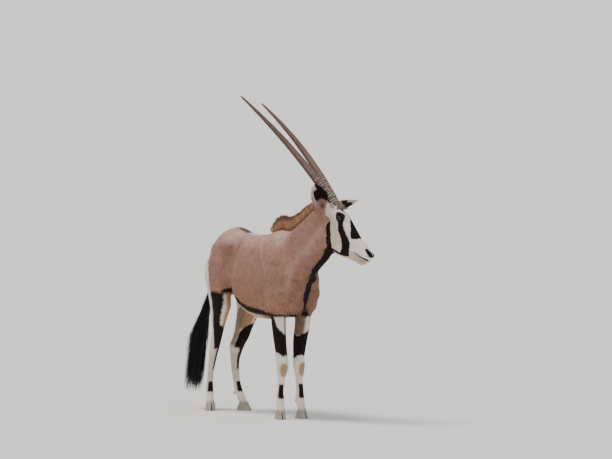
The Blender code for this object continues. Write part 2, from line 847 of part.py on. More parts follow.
def horn_stations():
    """Shares along the horn and the radius there, with the rings as ridges."""
    stations = [(-0.045, 1.0)]
    for ring_number in range(HORN_RINGS):
        share = 0.012 + HORN_RINGED * (ring_number / HORN_RINGS) ** 1.08
        after = 0.012 + HORN_RINGED * ((ring_number + 1) / HORN_RINGS) ** 1.08
        ridge = 1 + 0.11 * (1 - 0.5 * ring_number / HORN_RINGS)
        stations += [(share, 1.0), (0.45 * share + 0.55 * after, ridge)]
    last = stations[-1][0]
    stations += [(last + (1 - last) * i / 9, 1.0) for i in range(1, 10)]
    return stations


def horn_radius(share):
    return HORN_RADIUS * (1 - 0.40 * share - 0.40 * share**2.6)


def make_horn(side, head_clearance):
    name = "horn_left" if side > 0 else "horn_right"
    shares = horn_stations()
    path = [horn_line(side, share) for share, _ in shares]
    sections = []
    for (share, swell), frame in zip(shares, frames_along(path, HEAD[1])):
        radius = horn_radius(max(share, 0)) * swell
        sections.append(ring(frame, radius * 0.94, radius * 1.06, 8))
    return clear_of(tube(name, sections), [head_clearance])


EAR_WAYS = {
    # direction from root to tip, and the way the cup opens, in the head's frame
    -1: (Vector((-0.58, -0.72, 0.32)), Vector((0.55, -0.80, 0.10))),
    1: (Vector((0.36, 0.36, 0.85)), Vector((0.86, 0.30, -0.42))),
}


def ear_section(share):
    """Half-width, opening half-angle and lift of the cup at a share of its length."""
    profile = curve_through(
        [
            (0.00, 0.36, 150),
            (0.15, 0.50, 140),
            (0.32, 0.78, 118),
            (0.52, 1.00, 98),
            (0.72, 0.90, 84),
            (0.88, 0.58, 70),
            (0.97, 0.26, 55),
            (1.00, 0.10, 45),
        ]
    )
    wide = float(np.interp(share, profile[:, 0], profile[:, 1])) * EAR_WIDTH / 2
    return wide, math.radians(float(np.interp(share, profile[:, 0], profile[:, 2])))


def make_ear(side, clearances):
    name = "ear_left" if side > 0 else "ear_right"
    way, opening = (to_world(v) for v in EAR_WAYS[side])
    way.normalize()
    opening = (opening - opening.dot(way) * way).normalized()
    across = way.cross(opening)
    root = on_head(EAR_ROOT.x, side * EAR_ROOT.y, EAR_ROOT.z)
    rows, columns = 9, 9
    outer, inner = [], []
    for i in range(rows + 1):
        share = i / rows
        wide, angle = ear_section(share)
        radius = wide / math.sin(min(angle, math.pi / 2))
        thick = EAR_THICKNESS * (1 - 0.45 * share)
        curl = root + (share * EAR_LENGTH) * way + 0.018 * math.sin(math.pi * share) * opening
        for j in range(columns):
            turn = angle * (2 * j / (columns - 1) - 1)
            spoke = math.sin(turn) * across - math.cos(turn) * opening
            middle = curl + radius * math.cos(angle) * 0.35 * opening
            outer.append(middle + radius * spoke)
            inner.append(middle + (radius - thick) * spoke)
    points = outer + inner
    total = len(outer)
    faces = []
    for i in range(rows):
        for j in range(columns - 1):
            a = i * columns + j
            b = a + columns
            faces.append((a, a + 1, b + 1, b))
            faces.append((total + a, total + b, total + b + 1, total + a + 1))
        for edge in (i * columns, i * columns + columns - 1):
            faces.append((edge, edge + columns, total + edge + columns, total + edge))
    for j in range(columns - 1):
        for a in (j, rows * columns + j):
            faces.append((a, a + 1, total + a + 1, total + a))
    ear = outward(mesh_object(name, points, faces))
    return clear_of(ear, clearances)


def to_world(vector):
    """A direction given in the head's frame, in the world."""
    return vector.x * HEAD[0] + vector.y * HEAD[1] + vector.z * HEAD[2]


def ball_object(name, centre, radius):
    """A round body with its poles on the head's left-right line."""
    shape = bmesh.new()
    bmesh.ops.create_uvsphere(shape, u_segments=14, v_segments=9, radius=radius)
    turn = Vector((0, 0, 1)).rotation_difference(HEAD[1]).to_matrix().to_4x4()
    bmesh.ops.transform(shape, matrix=Matrix.Translation(centre) @ turn, verts=shape.verts)
    ball = mesh_object(name, [], [])
    shape.to_mesh(ball.data)
    shape.free()
    return ball


def seat_eyes(head):
    """Both eyeballs, each in a socket cut into the head."""
    for side, name in ((1, "eye_left"), (-1, "eye_right")):
        centre = on_head(EYE_CENTRE.x, side * EYE_CENTRE.y, EYE_CENTRE.z)
        ball_object(name, centre, EYE_RADIUS)
        socket = ball_object(name + "_socket", centre, EYE_RADIUS + SEAT_GAP)
        boolean(head, socket, "DIFFERENCE")
        discard(socket)


# One claw seen from above: forward and outward corners, at the sole and at its top
SOLE = (
    (-0.044, 0.0045), (-0.043, 0.020), (-0.028, 0.0300), (-0.004, 0.0325), (0.020, 0.0300),
    (0.040, 0.0215), (0.0535, 0.0105), (0.056, 0.0050), (0.030, 0.0030), (0.0, 0.0022),
)
CORONET = (
    (-0.026, 0.0012), (-0.027, 0.013), (-0.020, 0.0215), (-0.006, 0.0265), (0.008, 0.0265),
    (0.020, 0.0200), (0.027, 0.0100), (0.0285, 0.0020), (0.015, 0.0012), (0.0, 0.0012),
)


def make_hooves():
    """Two claws to each foot, standing flat on the floor."""
    for (hind, side), (x, y, toe_out) in FEET.items():
        ahead, across = facing(side, toe_out)
        across = Vector(across)
        for claw in (-1, 1):
            sections = []
            for height, rise in ((0, 0), (0.006, 0.05), (0.024, 0.42), (HOOF_HEIGHT, 1)):
                outline = []
                for low, high in zip(SOLE, CORONET):
                    a = low[0] + (high[0] - low[0]) * rise
                    b = low[1] + (high[1] - low[1]) * rise**1.6
                    spot = Vector((x, y, height)) + a * ahead + claw * b * across
                    outline.append(spot)
                sections.append(outline)
            place = ("hind" if hind else "fore") + ("_left" if side > 0 else "_right")
            which = "outer" if claw == side else "inner"
            tube("hoof_" + place + "_" + which, sections)


def crest_point(flesh, start, direction):
    """Where a line from inside the flesh comes out of it."""
    point = Vector(start)
    for _ in range(60):
        depth = -flesh.at(np.array([point]))[0]
        point = point + direction * 0.8 * float(max(depth, -0.002))
    return point


# Middle of the nape and back, the way its hair stands, and how high it stands
MANE_ROWS = [
    (0.690, 0.070, 1.320, -0.38, -0.08, 0.92, 0.028),
    (0.655, 0.055, 1.290, -0.36, -0.08, 0.93, 0.046),
    (0.590, 0.028, 1.230, -0.32, -0.06, 0.94, 0.058),
    (0.520, 0.010, 1.160, -0.27, -0.04, 0.95, 0.070),
    (0.450, 0.002, 1.110, -0.20, -0.03, 0.97, 0.086),
    (0.370, 0.0, 1.080, -0.16, -0.02, 0.98, 0.096),
    (0.300, 0.0, 1.072, -0.22, -0.02, 0.97, 0.086),
    (0.252, 0.0, 1.066, -0.34, -0.01, 0.94, 0.060),
    (0.215, 0.0, 1.063, -0.50, 0.0, 0.86, 0.028),
]


def mane_line(flesh, count):
    """Evenly placed points on the crest: place, way of the hair and its height."""
    table = curve_through(MANE_ROWS, 6)
    places = np.linspace(0, len(table) - 1, count)
    line = []
    for place in places:
        row = [float(np.interp(place, range(len(table)), table[:, i])) for i in range(7)]
        way = Vector(row[3:6]).normalized()
        line.append((crest_point(flesh, row[:3], way), way, row[6]))
    return line


def lock(name, path, wide, thick, side, blunt=1.7):
    """A flat lock of hair that tapers to its tip, late where it is blunt."""
    frames = frames_along(path, side)
    sections = []
    for i, (point, ahead, across, over) in enumerate(frames):
        share = i / (len(frames) - 1)
        width = wide * (1 - 0.90 * share**blunt)
        depth = thick * (1 - 0.80 * share)
        a, b = width * across, depth * over
        sections.append([point + a, point + b, point - a, point - b])
    return tube(name, sections)


def join_locks(base, locks):
    """One closed body out of a base and all its locks."""
    group = bpy.data.collections.new(base.name + "_locks")
    bpy.context.scene.collection.children.link(group)
    for thing in locks:
        group.objects.link(thing)
        bpy.context.scene.collection.objects.unlink(thing)
    boolean(base, group, "UNION", "MANIFOLD")
    for thing in locks:
        discard(thing)
    bpy.data.collections.remove(group)
    return base


def make_mane(flesh, clearances):
    line = mane_line(flesh, MANE_LOCKS)
    path = [p for p, _, _ in line]
    sections = []
    for (point, way, height), frame in zip(line[::2], frames_along(path[::2], Vector((0, 1, 0)))):
        over = way
        across = frame[1].cross(over).normalized()
        high = 0.36 * height
        corners = ((0.010, -0.012), (0.010, 0.25 * high), (0.003, high), (-0.003, high))
        corners += ((-0.010, 0.25 * high), (-0.010, -0.012))
        sections.append([point + a * across + b * over for a, b in corners])
    base = tube("mane", sections)
    locks = []
    for i, (point, way, height) in enumerate(line[1:-1]):
        ahead = (line[i + 2][0] - line[i][0]).normalized()
        across = ahead.cross(way).normalized()
        lean = (-1, 1, 0)[i % 3]
        bend = 0.26 + 0.08 * math.sin(i * 1.7)
        points = []
        for share in (0, 0.40, 0.80, 1):
            rise = (height + ROOT_DEPTH) * share * (1 + 0.06 * math.sin(i * 2.3))
            spot = point + (rise - ROOT_DEPTH) * way + bend * share * rise * ahead
            points.append(spot + lean * (0.0035 + 0.09 * rise) * across)
        locks.append(lock("mane_lock_%02d" % i, points, LOCK_WIDTH, 0.0060, ahead, blunt=3.2))
    join_locks(base, locks)
    return clear_of(base, clearances)


TAIL_LINE = [
    (-0.490, 0.000, 1.045), (-0.545, -0.002, 1.012), (-0.572, -0.010, 0.950), (-0.578, -0.022, 0.880),
    (-0.578, -0.036, 0.810), (-0.579, -0.048, 0.740), (-0.582, -0.060, 0.665),
]


def make_tail(clearances):
    path = [Vector(p) for p in curve_through(TAIL_LINE, 3)]
    cut = path[-3]
    sections = []
    for i, frame in enumerate(frames_along(path, Vector((0, 1, 0)))):
        radius = TAIL_RADIUS * (1 - 0.55 * i / (len(path) - 1))
        sections.append(ring(frame, radius, radius * 0.9, 10))
    dock = tube("whole_tail", sections)
    way = (path[-2] - path[-4]).normalized()
    top = half(dock, "tail", cut, -way)
    tip = half(dock, "tail_tuft_core", cut, way)
    discard(dock)
    tail = clear_of(top, clearances)
    return tail, make_tuft(tip, cut, way, clearances)


def make_tuft(core, cut, way, clearances):
    """The long switch of hair, blown a little to the animal's right."""
    locks = []
    for i in range(TUFT_LOCKS):
        angle = 2.4 * i
        share = (i + 0.5) / TUFT_LOCKS
        length = 0.33 + 0.17 * share
        out = 0.004 + 0.010 * (1 - share)
        start = cut + way * (0.006 + 0.070 * share)
        spread = Vector((math.cos(angle), math.sin(angle), 0))
        drift = Vector((-0.09, -0.10 + 0.05 * share, 0))
        points = []
        for step in (0, 0.18, 0.42, 0.70, 1.0):
            fall = Vector((0, 0, -length * step)) + drift * step * length * 2.2
            fan = spread * (out + 0.070 * step * (1.5 - step) * (1 - 0.3 * share))
            points.append(start + fall + fan)
        wide = 0.021 - 0.004 * share
        side = Vector((-math.sin(angle), math.cos(angle), 0))
        locks.append(lock("tuft_lock_%02d" % i, points, wide, 0.0065, side, blunt=2.2))
    core.name = "tail_tuft"
    join_locks(core, locks)
    body = half(core, "tail_tuft_cut", cut, way)
    discard(core)
    body.name = "tail_tuft"
    return clear_of(body, clearances)


def part_flesh(flesh):
    """Mesh the flesh and part it into its nodes; return head, neck and torso."""
    fine = flesh_object("fine", flesh, HEAD_BOX[0], HEAD_BOX[1], HEAD_CELL, HEAD_TRIANGLES)
    coarse = flesh_object("coarse", flesh, BODY_BOX[0], BODY_BOX[1], CELL, BODY_TRIANGLES)
    head_point, head_normal = on_head(*HEAD_CUT), to_world(Vector(HEAD_CUT_NORMAL))
    head = keep_largest(half(fine, "head", head_point, head_normal))
    front = half(coarse, "front", NECK_CUT, NECK_CUT_NORMAL)
    neck = keep_largest(half(front, "neck", head_point, -head_normal))
    rear = half(coarse, "rear", NECK_CUT, -Vector(NECK_CUT_NORMAL))
    torso = keep_largest(half(rear, "torso", (0, 0, LEG_CUT), (0, 0, 1)))
    lower = half(rear, "lower", (0, 0, LEG_CUT), (0, 0, -1))
    for number, piece in enumerate(loose_pieces(lower)[:4]):
        part_leg(piece_object(lower, "limb_%d" % number, piece))
    for thing in (fine, coarse, front, rear, lower):
        discard(thing)
    return head, neck, torso


def part_leg(limb):
    """Part one limb at the knee or hock, and end it where its hooves begin."""
    middle = sum((v.co for v in limb.data.vertices), Vector()) / len(limb.data.vertices)
    hind = middle.x < 0
    name = ("hind" if hind else "fore") + "leg" + ("_left" if middle.y > 0 else "_right")
    joint = HOCK_CUT if hind else KNEE_CUT
    keep_largest(half(limb, name + "_upper", (0, 0, joint), (0, 0, 1)))
    shank = half(limb, "shank", (0, 0, joint), (0, 0, -1))
    keep_largest(half(shank, name + "_lower", (0, 0, HOOF_HEIGHT + GAP / 2), (0, 0, 1)))
    discard(limb)
    discard(shank)


def material(name, colour, roughness):
    made = bpy.data.materials.new(name)
    made.use_nodes = True
    shader = made.node_tree.nodes["Principled BSDF"]
    shader.inputs["Base Color"].default_value = (*colour, 1)
    shader.inputs["Roughness"].default_value = roughness
    return made


def colour_nodes():
    """One material to each node, chosen by the node's name."""
    made = {name: material(name, colour, 0.8) for name, colour in COLOURS.items()}
    made["eye"].node_tree.nodes["Principled BSDF"].inputs["Roughness"].default_value = 0.08
    slots = (
        ("horn", "horn"), ("hoof", "hoof"), ("eye", "eye"), ("mane", "mane"), ("tail_tuft", "tail"),
        ("head", "face"), ("_upper", "leg_dark"), ("_lower", "leg_pale"), ("", "coat"),
    )
    for thing in bpy.data.objects:
        slot = next(slot for part, slot in slots if part in thing.name)
        thing.data.materials.clear()
        thing.data.materials.append(made[slot])


def stand_on_origin():
    """Move everything so that the box's bottom centre is the origin."""
    corners = [v.co for thing in bpy.data.objects for v in thing.data.vertices]
    low = Vector([min(c[i] for c in corners) for i in range(3)])
    high = Vector([max(c[i] for c in corners) for i in range(3)])
    shift = Vector((-(low.x + high.x) / 2, -(low.y + high.y) / 2, -low.z))
    for thing in bpy.data.objects:
        for vertex in thing.data.vertices:
            vertex.co += shift


def clear_scene():
    for thing in list(bpy.data.objects):
        bpy.data.objects.remove(thing)


def main():
    clear_scene()
    flesh = shape_flesh()
    head, neck, torso = part_flesh(flesh)
    clearances = [swollen(thing, ROOT_GAP) for thing in (head, neck, torso)]
    seat_eyes(head)
    for side in (-1, 1):
        make_horn(side, clearances[0])
        make_ear(side, clearances[:2])
    make_hooves()
    make_mane(flesh, clearances)
    make_tail(clearances[2:])
    for clearance in clearances:
        discard(clearance)
    colour_nodes()
    stand_on_origin()


main()
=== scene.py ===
"""The looks of a life-size standing gemsbok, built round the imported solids.

One skin, made from the same smooth field as the solids, stands for all the
flesh. Short tufts lie over it along the hair, a mane and a tail of fine
strands grow from it, and finer horns, ears, eyes and hooves take the place
of the plain ones. Shapes are worked out in the animal's own coordinates, with
the ground at height 0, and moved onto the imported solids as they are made.
"""

import math

import bmesh
import bpy
import numpy as np
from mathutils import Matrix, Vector


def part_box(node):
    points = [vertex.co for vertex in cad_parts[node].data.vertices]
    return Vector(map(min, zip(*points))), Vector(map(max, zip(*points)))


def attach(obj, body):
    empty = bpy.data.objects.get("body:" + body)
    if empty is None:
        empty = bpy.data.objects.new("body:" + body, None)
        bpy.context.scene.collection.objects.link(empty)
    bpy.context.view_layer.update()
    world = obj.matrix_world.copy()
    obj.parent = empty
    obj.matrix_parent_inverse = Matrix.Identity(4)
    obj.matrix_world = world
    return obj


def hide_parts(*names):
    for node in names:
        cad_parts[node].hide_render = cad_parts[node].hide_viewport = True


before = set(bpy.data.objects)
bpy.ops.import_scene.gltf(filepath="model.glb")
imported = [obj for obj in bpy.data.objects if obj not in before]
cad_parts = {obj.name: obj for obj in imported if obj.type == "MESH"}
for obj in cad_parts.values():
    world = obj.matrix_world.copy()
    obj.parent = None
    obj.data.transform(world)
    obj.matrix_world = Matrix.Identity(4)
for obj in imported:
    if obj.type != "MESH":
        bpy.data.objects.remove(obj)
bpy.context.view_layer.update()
RANDOM = np.random.default_rng(7)

# How many strands the mane and the tail have, and how many hairs an ear has
MANE_STRANDS = 6500
TAIL_STRANDS = 3600
EAR_HAIRS = 4200

# Driving dimensions, in metres, as in the solids, but with more and finer rings on the horns
HORN_LENGTHS = {-1: 0.894, 1: 0.857}
HORN_RADIUS = 0.0245
HORN_RINGS = 27
HORN_RINGED = 0.50
HORN_BACK = 0.980
HORN_SPREAD = 0.200
HORN_DROPS = {-1: 0.033, 1: 0.022}
HORN_BOWS = {-1: 0.026, 1: 0.036}
EYE_RADIUS = 0.0185
EAR_LENGTH = 0.175
EAR_WIDTH = 0.084
EAR_THICKNESS = 0.0055
HOOF_HEIGHT = 0.052
TAIL_RADIUS = 0.023

# The skin lies inside the solids by the coat's depth
COAT_DEPTH = 0.0020
FACE_DEPTH = 0.0006

# The head's own frame: its origin is the poll, between the ears
POLL = Vector((0.735, 0.098, 1.398))
HEAD_YAW = math.radians(40)
HEAD_PITCH = math.radians(51)
HEAD_ROLL = math.radians(8)
HORN_ROOT = Vector((0.040, 0.032, -0.017))
EYE_CENTRE = Vector((0.133, 0.0460, -0.039))
EAR_ROOT = Vector((0.014, 0.063, -0.078))

# Where the hooves stand, by (hind?, side): x, y and toe-out in degrees
FEET = {
    (False, -1): (0.362, -0.070, 14),
    (False, 1): (0.366, 0.082, 5),
    (True, -1): (-0.496, -0.094, 20),
    (True, 1): (-0.404, 0.099, 26),
}
KNEE_HEIGHT = 0.338

# Sections down each leg: x, y, height, half-width and half-depth
FORELEGS = {
    -1: [
        (0.352, -0.100, 0.755, 0.040, 0.060),
        (0.350, -0.081, 0.665, 0.046, 0.062),
        (0.346, -0.072, 0.580, 0.045, 0.056),
        (0.345, -0.063, 0.490, 0.041, 0.048),
        (0.347, -0.052, 0.395, 0.0385, 0.042),
        (0.350, -0.046, KNEE_HEIGHT, 0.0405, 0.042),
        (0.346, -0.048, 0.290, 0.0330, 0.034),
        (0.340, -0.0525, 0.235, 0.0225, 0.0265),
        (0.338, -0.0575, 0.165, 0.0220, 0.0265),
        (0.338, -0.0570, 0.130, 0.0275, 0.0300),
        (0.350, -0.063, 0.090, 0.0265, 0.0270),
        (0.364, -0.070, 0.050, 0.0290, 0.0300),
    ],
    1: [
        (0.345, 0.112, 0.755, 0.036, 0.062),
        (0.338, 0.110, 0.665, 0.041, 0.070),
        (0.330, 0.106, 0.580, 0.042, 0.062),
        (0.330, 0.091, 0.490, 0.040, 0.056),
        (0.334, 0.080, 0.395, 0.0350, 0.044),
        (0.339, 0.077, KNEE_HEIGHT, 0.0385, 0.043),
        (0.338, 0.080, 0.290, 0.0300, 0.035),
        (0.336, 0.0815, 0.235, 0.0225, 0.0290),
        (0.338, 0.0845, 0.165, 0.0230, 0.0300),
        (0.338, 0.0845, 0.130, 0.0285, 0.0325),
        (0.351, 0.083, 0.090, 0.0265, 0.0275),
        (0.368, 0.082, 0.050, 0.0290, 0.0300),
    ],
}
HINDLEGS = {
    -1: [
        (-0.302, -0.132, 0.780, 0.047, 0.084),
        (-0.300, -0.124, 0.690, 0.052, 0.098),
        (-0.334, -0.118, 0.620, 0.046, 0.083),
        (-0.362, -0.110, 0.560, 0.039, 0.064),
        (-0.388, -0.102, 0.510, 0.034, 0.052),
        (-0.418, -0.094, 0.462, 0.031, 0.049),
        (-0.447, -0.089, 0.415, 0.030, 0.046),
        (-0.472, -0.0865, 0.360, 0.0260, 0.038),
        (-0.486, -0.086, 0.315, 0.0230, 0.033),
        (-0.505, -0.0875, 0.250, 0.0200, 0.0265),
        (-0.520, -0.084, 0.175, 0.0205, 0.0260),
        (-0.528, -0.083, 0.130, 0.0260, 0.0300),
        (-0.514, -0.088, 0.090, 0.0260, 0.0275),
        (-0.497, -0.094, 0.050, 0.0285, 0.0300),
    ],
    1: [
        (-0.330, 0.138, 0.780, 0.044, 0.085),
        (-0.350, 0.134, 0.690, 0.050, 0.098),
        (-0.390, 0.127, 0.620, 0.043, 0.080),
        (-0.430, 0.126, 0.560, 0.038, 0.072),
        (-0.440, 0.116, 0.510, 0.034, 0.064),
        (-0.452, 0.104, 0.462, 0.034, 0.061),
        (-0.472, 0.092, 0.415, 0.031, 0.055),
        (-0.485, 0.086, 0.360, 0.0275, 0.042),
        (-0.492, 0.0845, 0.315, 0.0240, 0.034),
        (-0.487, 0.0835, 0.250, 0.0215, 0.0295),
        (-0.465, 0.0835, 0.175, 0.0205, 0.0265),
        (-0.449, 0.0845, 0.130, 0.0255, 0.0300),
        (-0.430, 0.0915, 0.090, 0.0260, 0.0280),
        (-0.408, 0.098, 0.050, 0.0285, 0.0300),
    ],
}
# The tendon and heel behind each hock: x, y, height, distance back, half-depth
TENDONS = {
    -1: [
        (-0.350, -0.110, 0.610, 0.060, 0.024),
        (-0.371, -0.106, 0.560, 0.050, 0.017),
        (-0.400, -0.100, 0.510, 0.045, 0.015),
        (-0.436, -0.092, 0.462, 0.040, 0.018),
        (-0.456, -0.088, 0.425, 0.037, 0.021),
        (-0.472, -0.087, 0.385, 0.031, 0.018),
    ],
    1: [
        (-0.430, 0.126, 0.610, 0.045, 0.026),
        (-0.440, 0.120, 0.560, 0.046, 0.018),
        (-0.448, 0.112, 0.510, 0.044, 0.015),
        (-0.458, 0.104, 0.462, 0.041, 0.017),
        (-0.472, 0.094, 0.425, 0.041, 0.020),
        (-0.483, 0.088, 0.385, 0.034, 0.019),
    ],
}


def head_axes():
    """The head's forward, left and up directions in the world."""
    forward = Vector(
        (
            math.cos(HEAD_PITCH) * math.cos(HEAD_YAW),
            math.cos(HEAD_PITCH) * math.sin(HEAD_YAW),
            -math.sin(HEAD_PITCH),
        )
    )
    level_left = Vector((-math.sin(HEAD_YAW), math.cos(HEAD_YAW), 0))
    level_up = forward.cross(level_left)
    left = math.cos(HEAD_ROLL) * level_left - math.sin(HEAD_ROLL) * level_up
    return forward, left, forward.cross(left)


HEAD = head_axes()


def on_head(forward, left, up):
    """A point given in the head's frame, in the world."""
    return POLL + forward * HEAD[0] + left * HEAD[1] + up * HEAD[2]


def curve_through(rows, spans=10):
    """Rows of a table joined by a Catmull-Rom curve."""
    rows = np.asarray(rows, float)
    ends = np.vstack([2 * rows[0] - rows[1], rows, 2 * rows[-1] - rows[-2]])
    t = np.linspace(0, 1, spans, endpoint=False)[:, None]
    made = []
    for a, b, c, d in zip(ends, ends[1:], ends[2:], ends[3:]):
        slope, bend = c - a, 2 * a - 5 * b + 4 * c - d
        made.append(b + 0.5 * (slope * t + bend * t**2 + (3 * b - a - 3 * c + d) * t**3))
    return np.vstack(made + [rows[-1:]])


def blended(a, b, width):
    """The smaller of two fields, rounded over where they meet."""
    share = np.clip(0.5 + 0.5 * (b - a) / width, 0, 1)
    return b * (1 - share) + a * share - width * share * (1 - share)


class Flesh:
    """The animal's body as a field: negative inside, about metres outside."""

    def __init__(self):
        self.forms = []
        self.frames = {
            "body": (np.zeros(3), np.eye(3)),
            "head": (np.array(POLL), np.array([list(a) for a in HEAD])),
        }

    def add(self, low, high, measure, blend, frame="body", paired=False, carve=False):
        self.forms.append((low, high, measure, blend, frame, paired, carve))

    def loft(self, rows, axis=(0, 0, 1), side=(0, 1, 0), blend=0.03, cap=1.0, **how):
        """Elliptical sections (x, y, z, half-width, half-depth) along an axis."""
        table = curve_through(rows)
        axis = np.asarray(axis, float) / np.linalg.norm(axis)
        side = np.asarray(side, float) - np.dot(side, axis) * axis
        side /= np.linalg.norm(side)
        depth = np.cross(axis, side)
        table = table[np.argsort(table[:, :3] @ axis)]
        along = table[:, :3] @ axis
        across, deep = table[:, :3] @ side, table[:, :3] @ depth
        wide, thick = np.maximum(table[:, 3], 1e-3), np.maximum(table[:, 4], 1e-3)

        def measure(points):
            s = points @ axis
            held = np.clip(s, along[0], along[-1])
            w, h = np.interp(held, along, wide), np.interp(held, along, thick)
            a = points @ side - np.interp(held, along, across)
            b = points @ depth - np.interp(held, along, deep)
            c = s - held
            share = np.sqrt((a / w) ** 2 + (b / h) ** 2 + (2 * c / (cap * (w + h))) ** 2)
            return np.sqrt(a * a + b * b + c * c) * (1 - 1 / np.maximum(share, 1e-4))

        reach = max(wide.max(), thick.max()) * max(cap, 1)
        low, high = table[:, :3].min(0) - reach, table[:, :3].max(0) + reach
        self.add(low, high, measure, blend, **how)

    def ball(self, centre, radii, blend=0.03, turn=0.0, **how):
        """An ellipsoid, turned by an angle about its Y axis."""
        centre, radii = np.asarray(centre, float), np.asarray(radii, float)
        c, s = math.cos(turn), math.sin(turn)
        axes = np.array([[c, 0, s], [0, 1, 0], [-s, 0, c]])

        def measure(points):
            off = points - centre
            share = np.sqrt((((off @ axes.T) / radii) ** 2).sum(1))
            return np.sqrt((off**2).sum(1)) * (1 - 1 / np.maximum(share, 1e-4))

        self.add(centre - radii.max(), centre + radii.max(), measure, blend, **how)

    def at(self, points):
        """The field at points that lie close together."""
        centre = points.mean(0)
        radius = np.sqrt(((points - centre) ** 2).sum(1).max())
        field = np.full(len(points), 1.0)
        local = {}
        for low, high, measure, blend, frame, paired, carve in self.forms:
            if frame not in local:
                origin, axes = self.frames[frame]
                local[frame] = (points - origin) @ axes.T, (centre - origin) @ axes.T
            here, middle = local[frame]
            if paired:
                middle = np.array([middle[0], abs(middle[1]), middle[2]])
                here = here * np.array([1, 0, 1]) + np.abs(here) * np.array([0, 1, 0])
            margin = radius + blend + (radius if paired else 0)
            if (middle < low - margin).any() or (middle > high + margin).any():
                continue
            if carve:
                field = -blended(-field, measure(here), blend)
            else:
                field = blended(field, measure(here), blend)
        return field


def shape_trunk(flesh):
    # Chest, barrel, loin and rump: x, y, z of the middle, half-width, half-height
    flesh.loft(
        [
            (0.485, 0, 0.885, 0.080, 0.130),
            (0.40, 0, 0.885, 0.128, 0.222),
            (0.26, 0, 0.882, 0.180, 0.258),
            (0.10, 0, 0.872, 0.218, 0.258),
            (0.04, 0, 0.873, 0.223, 0.256),
            (-0.02, 0, 0.876, 0.213, 0.250),
            (-0.08, 0, 0.883, 0.174, 0.243),
            (-0.14, 0, 0.898, 0.138, 0.234),
            (-0.20, 0, 0.918, 0.122, 0.222),
            (-0.30, 0, 0.955, 0.120, 0.198),
            (-0.40, 0, 0.965, 0.118, 0.170),
            (-0.475, 0, 0.960, 0.090, 0.130),
        ],
        axis=(1, 0, 0),
        blend=0.05,
        cap=0.55,
    )
    # Withers and the ridge of the back
    flesh.loft(
        [
            (0.42, 0, 1.075, 0.050, 0.065),
            (0.33, 0, 1.115, 0.056, 0.070),
            (0.22, 0, 1.105, 0.050, 0.058),
            (0.06, 0, 1.085, 0.042, 0.042),
            (-0.12, 0, 1.090, 0.050, 0.040),
            (-0.27, 0, 1.110, 0.075, 0.055),
            (-0.38, 0, 1.092, 0.080, 0.055),
            (-0.49, 0, 1.030, 0.050, 0.050),
        ],
        axis=(1, 0, 0),
        blend=0.08,
    )
    # Brisket, between the forelegs
    flesh.ball((0.425, 0, 0.735), (0.085, 0.070, 0.085), blend=0.07)
    # Hip bones
    flesh.ball((-0.245, 0.104, 1.070), (0.046, 0.036, 0.030), blend=0.05, paired=True)
    # The hollow in front of each hip
    hollow = (-0.150, 0.172, 1.010)
    flesh.ball(hollow, (0.075, 0.050, 0.095), blend=0.04, turn=0.35, paired=True, carve=True)


def shape_shoulders(flesh):
    # Shoulder blade, down to the point of the shoulder
    flesh.loft(
        [
            (0.27, 0.060, 1.100, 0.040, 0.060),
            (0.34, 0.106, 0.985, 0.050, 0.085),
            (0.41, 0.114, 0.870, 0.050, 0.088),
            (0.435, 0.106, 0.800, 0.046, 0.066),
        ],
        axis=(0.45, 0, -1),
        blend=0.07,
        paired=True,
    )
    # Muscle behind the upper arm, which ends in an edge over the ribs
    flesh.loft(
        [
            (0.398, 0.116, 0.975, 0.042, 0.046),
            (0.386, 0.134, 0.890, 0.049, 0.056),
            (0.388, 0.136, 0.800, 0.047, 0.055),
            (0.382, 0.126, 0.725, 0.042, 0.044),
        ],
        axis=(0, 0, -1),
        blend=0.022,
        paired=True,
    )
    # Upper arm, back to the elbow
    flesh.loft(
        [
            (0.435, 0.104, 0.790, 0.044, 0.062),
            (0.370, 0.116, 0.735, 0.048, 0.076),
            (0.310, 0.112, 0.690, 0.036, 0.046),
        ],
        axis=(-1, 0, -0.7),
        blend=0.05,
        paired=True,
    )


def shape_haunches(flesh):
    # Front of the thigh, from the hip to the stifle
    flesh.loft(
        [
            (-0.300, 0.100, 1.040, 0.040, 0.070),
            (-0.350, 0.120, 0.950, 0.058, 0.105),
            (-0.335, 0.134, 0.850, 0.060, 0.112),
            (-0.302, 0.140, 0.760, 0.054, 0.088),
            (-0.300, 0.138, 0.700, 0.044, 0.070),
        ],
        blend=0.07,
        paired=True,
    )
    # Back of the thigh, from the pin bone down to the gaskin
    for side, low_x, low_y in ((-1, -0.418, 0.106), (1, -0.440, 0.100)):
        flesh.loft(
            [
                (-0.435, side * 0.060, 1.020, 0.040, 0.060),
                (-0.450, side * 0.080, 0.930, 0.052, 0.074),
                (-0.430, side * 0.094, 0.810, 0.050, 0.072),
                (low_x + 0.010, side * 0.104, 0.690, 0.036, 0.052),
                (low_x - 0.004, side * low_y, 0.590, 0.022, 0.026),
            ],
            blend=0.05,
        )


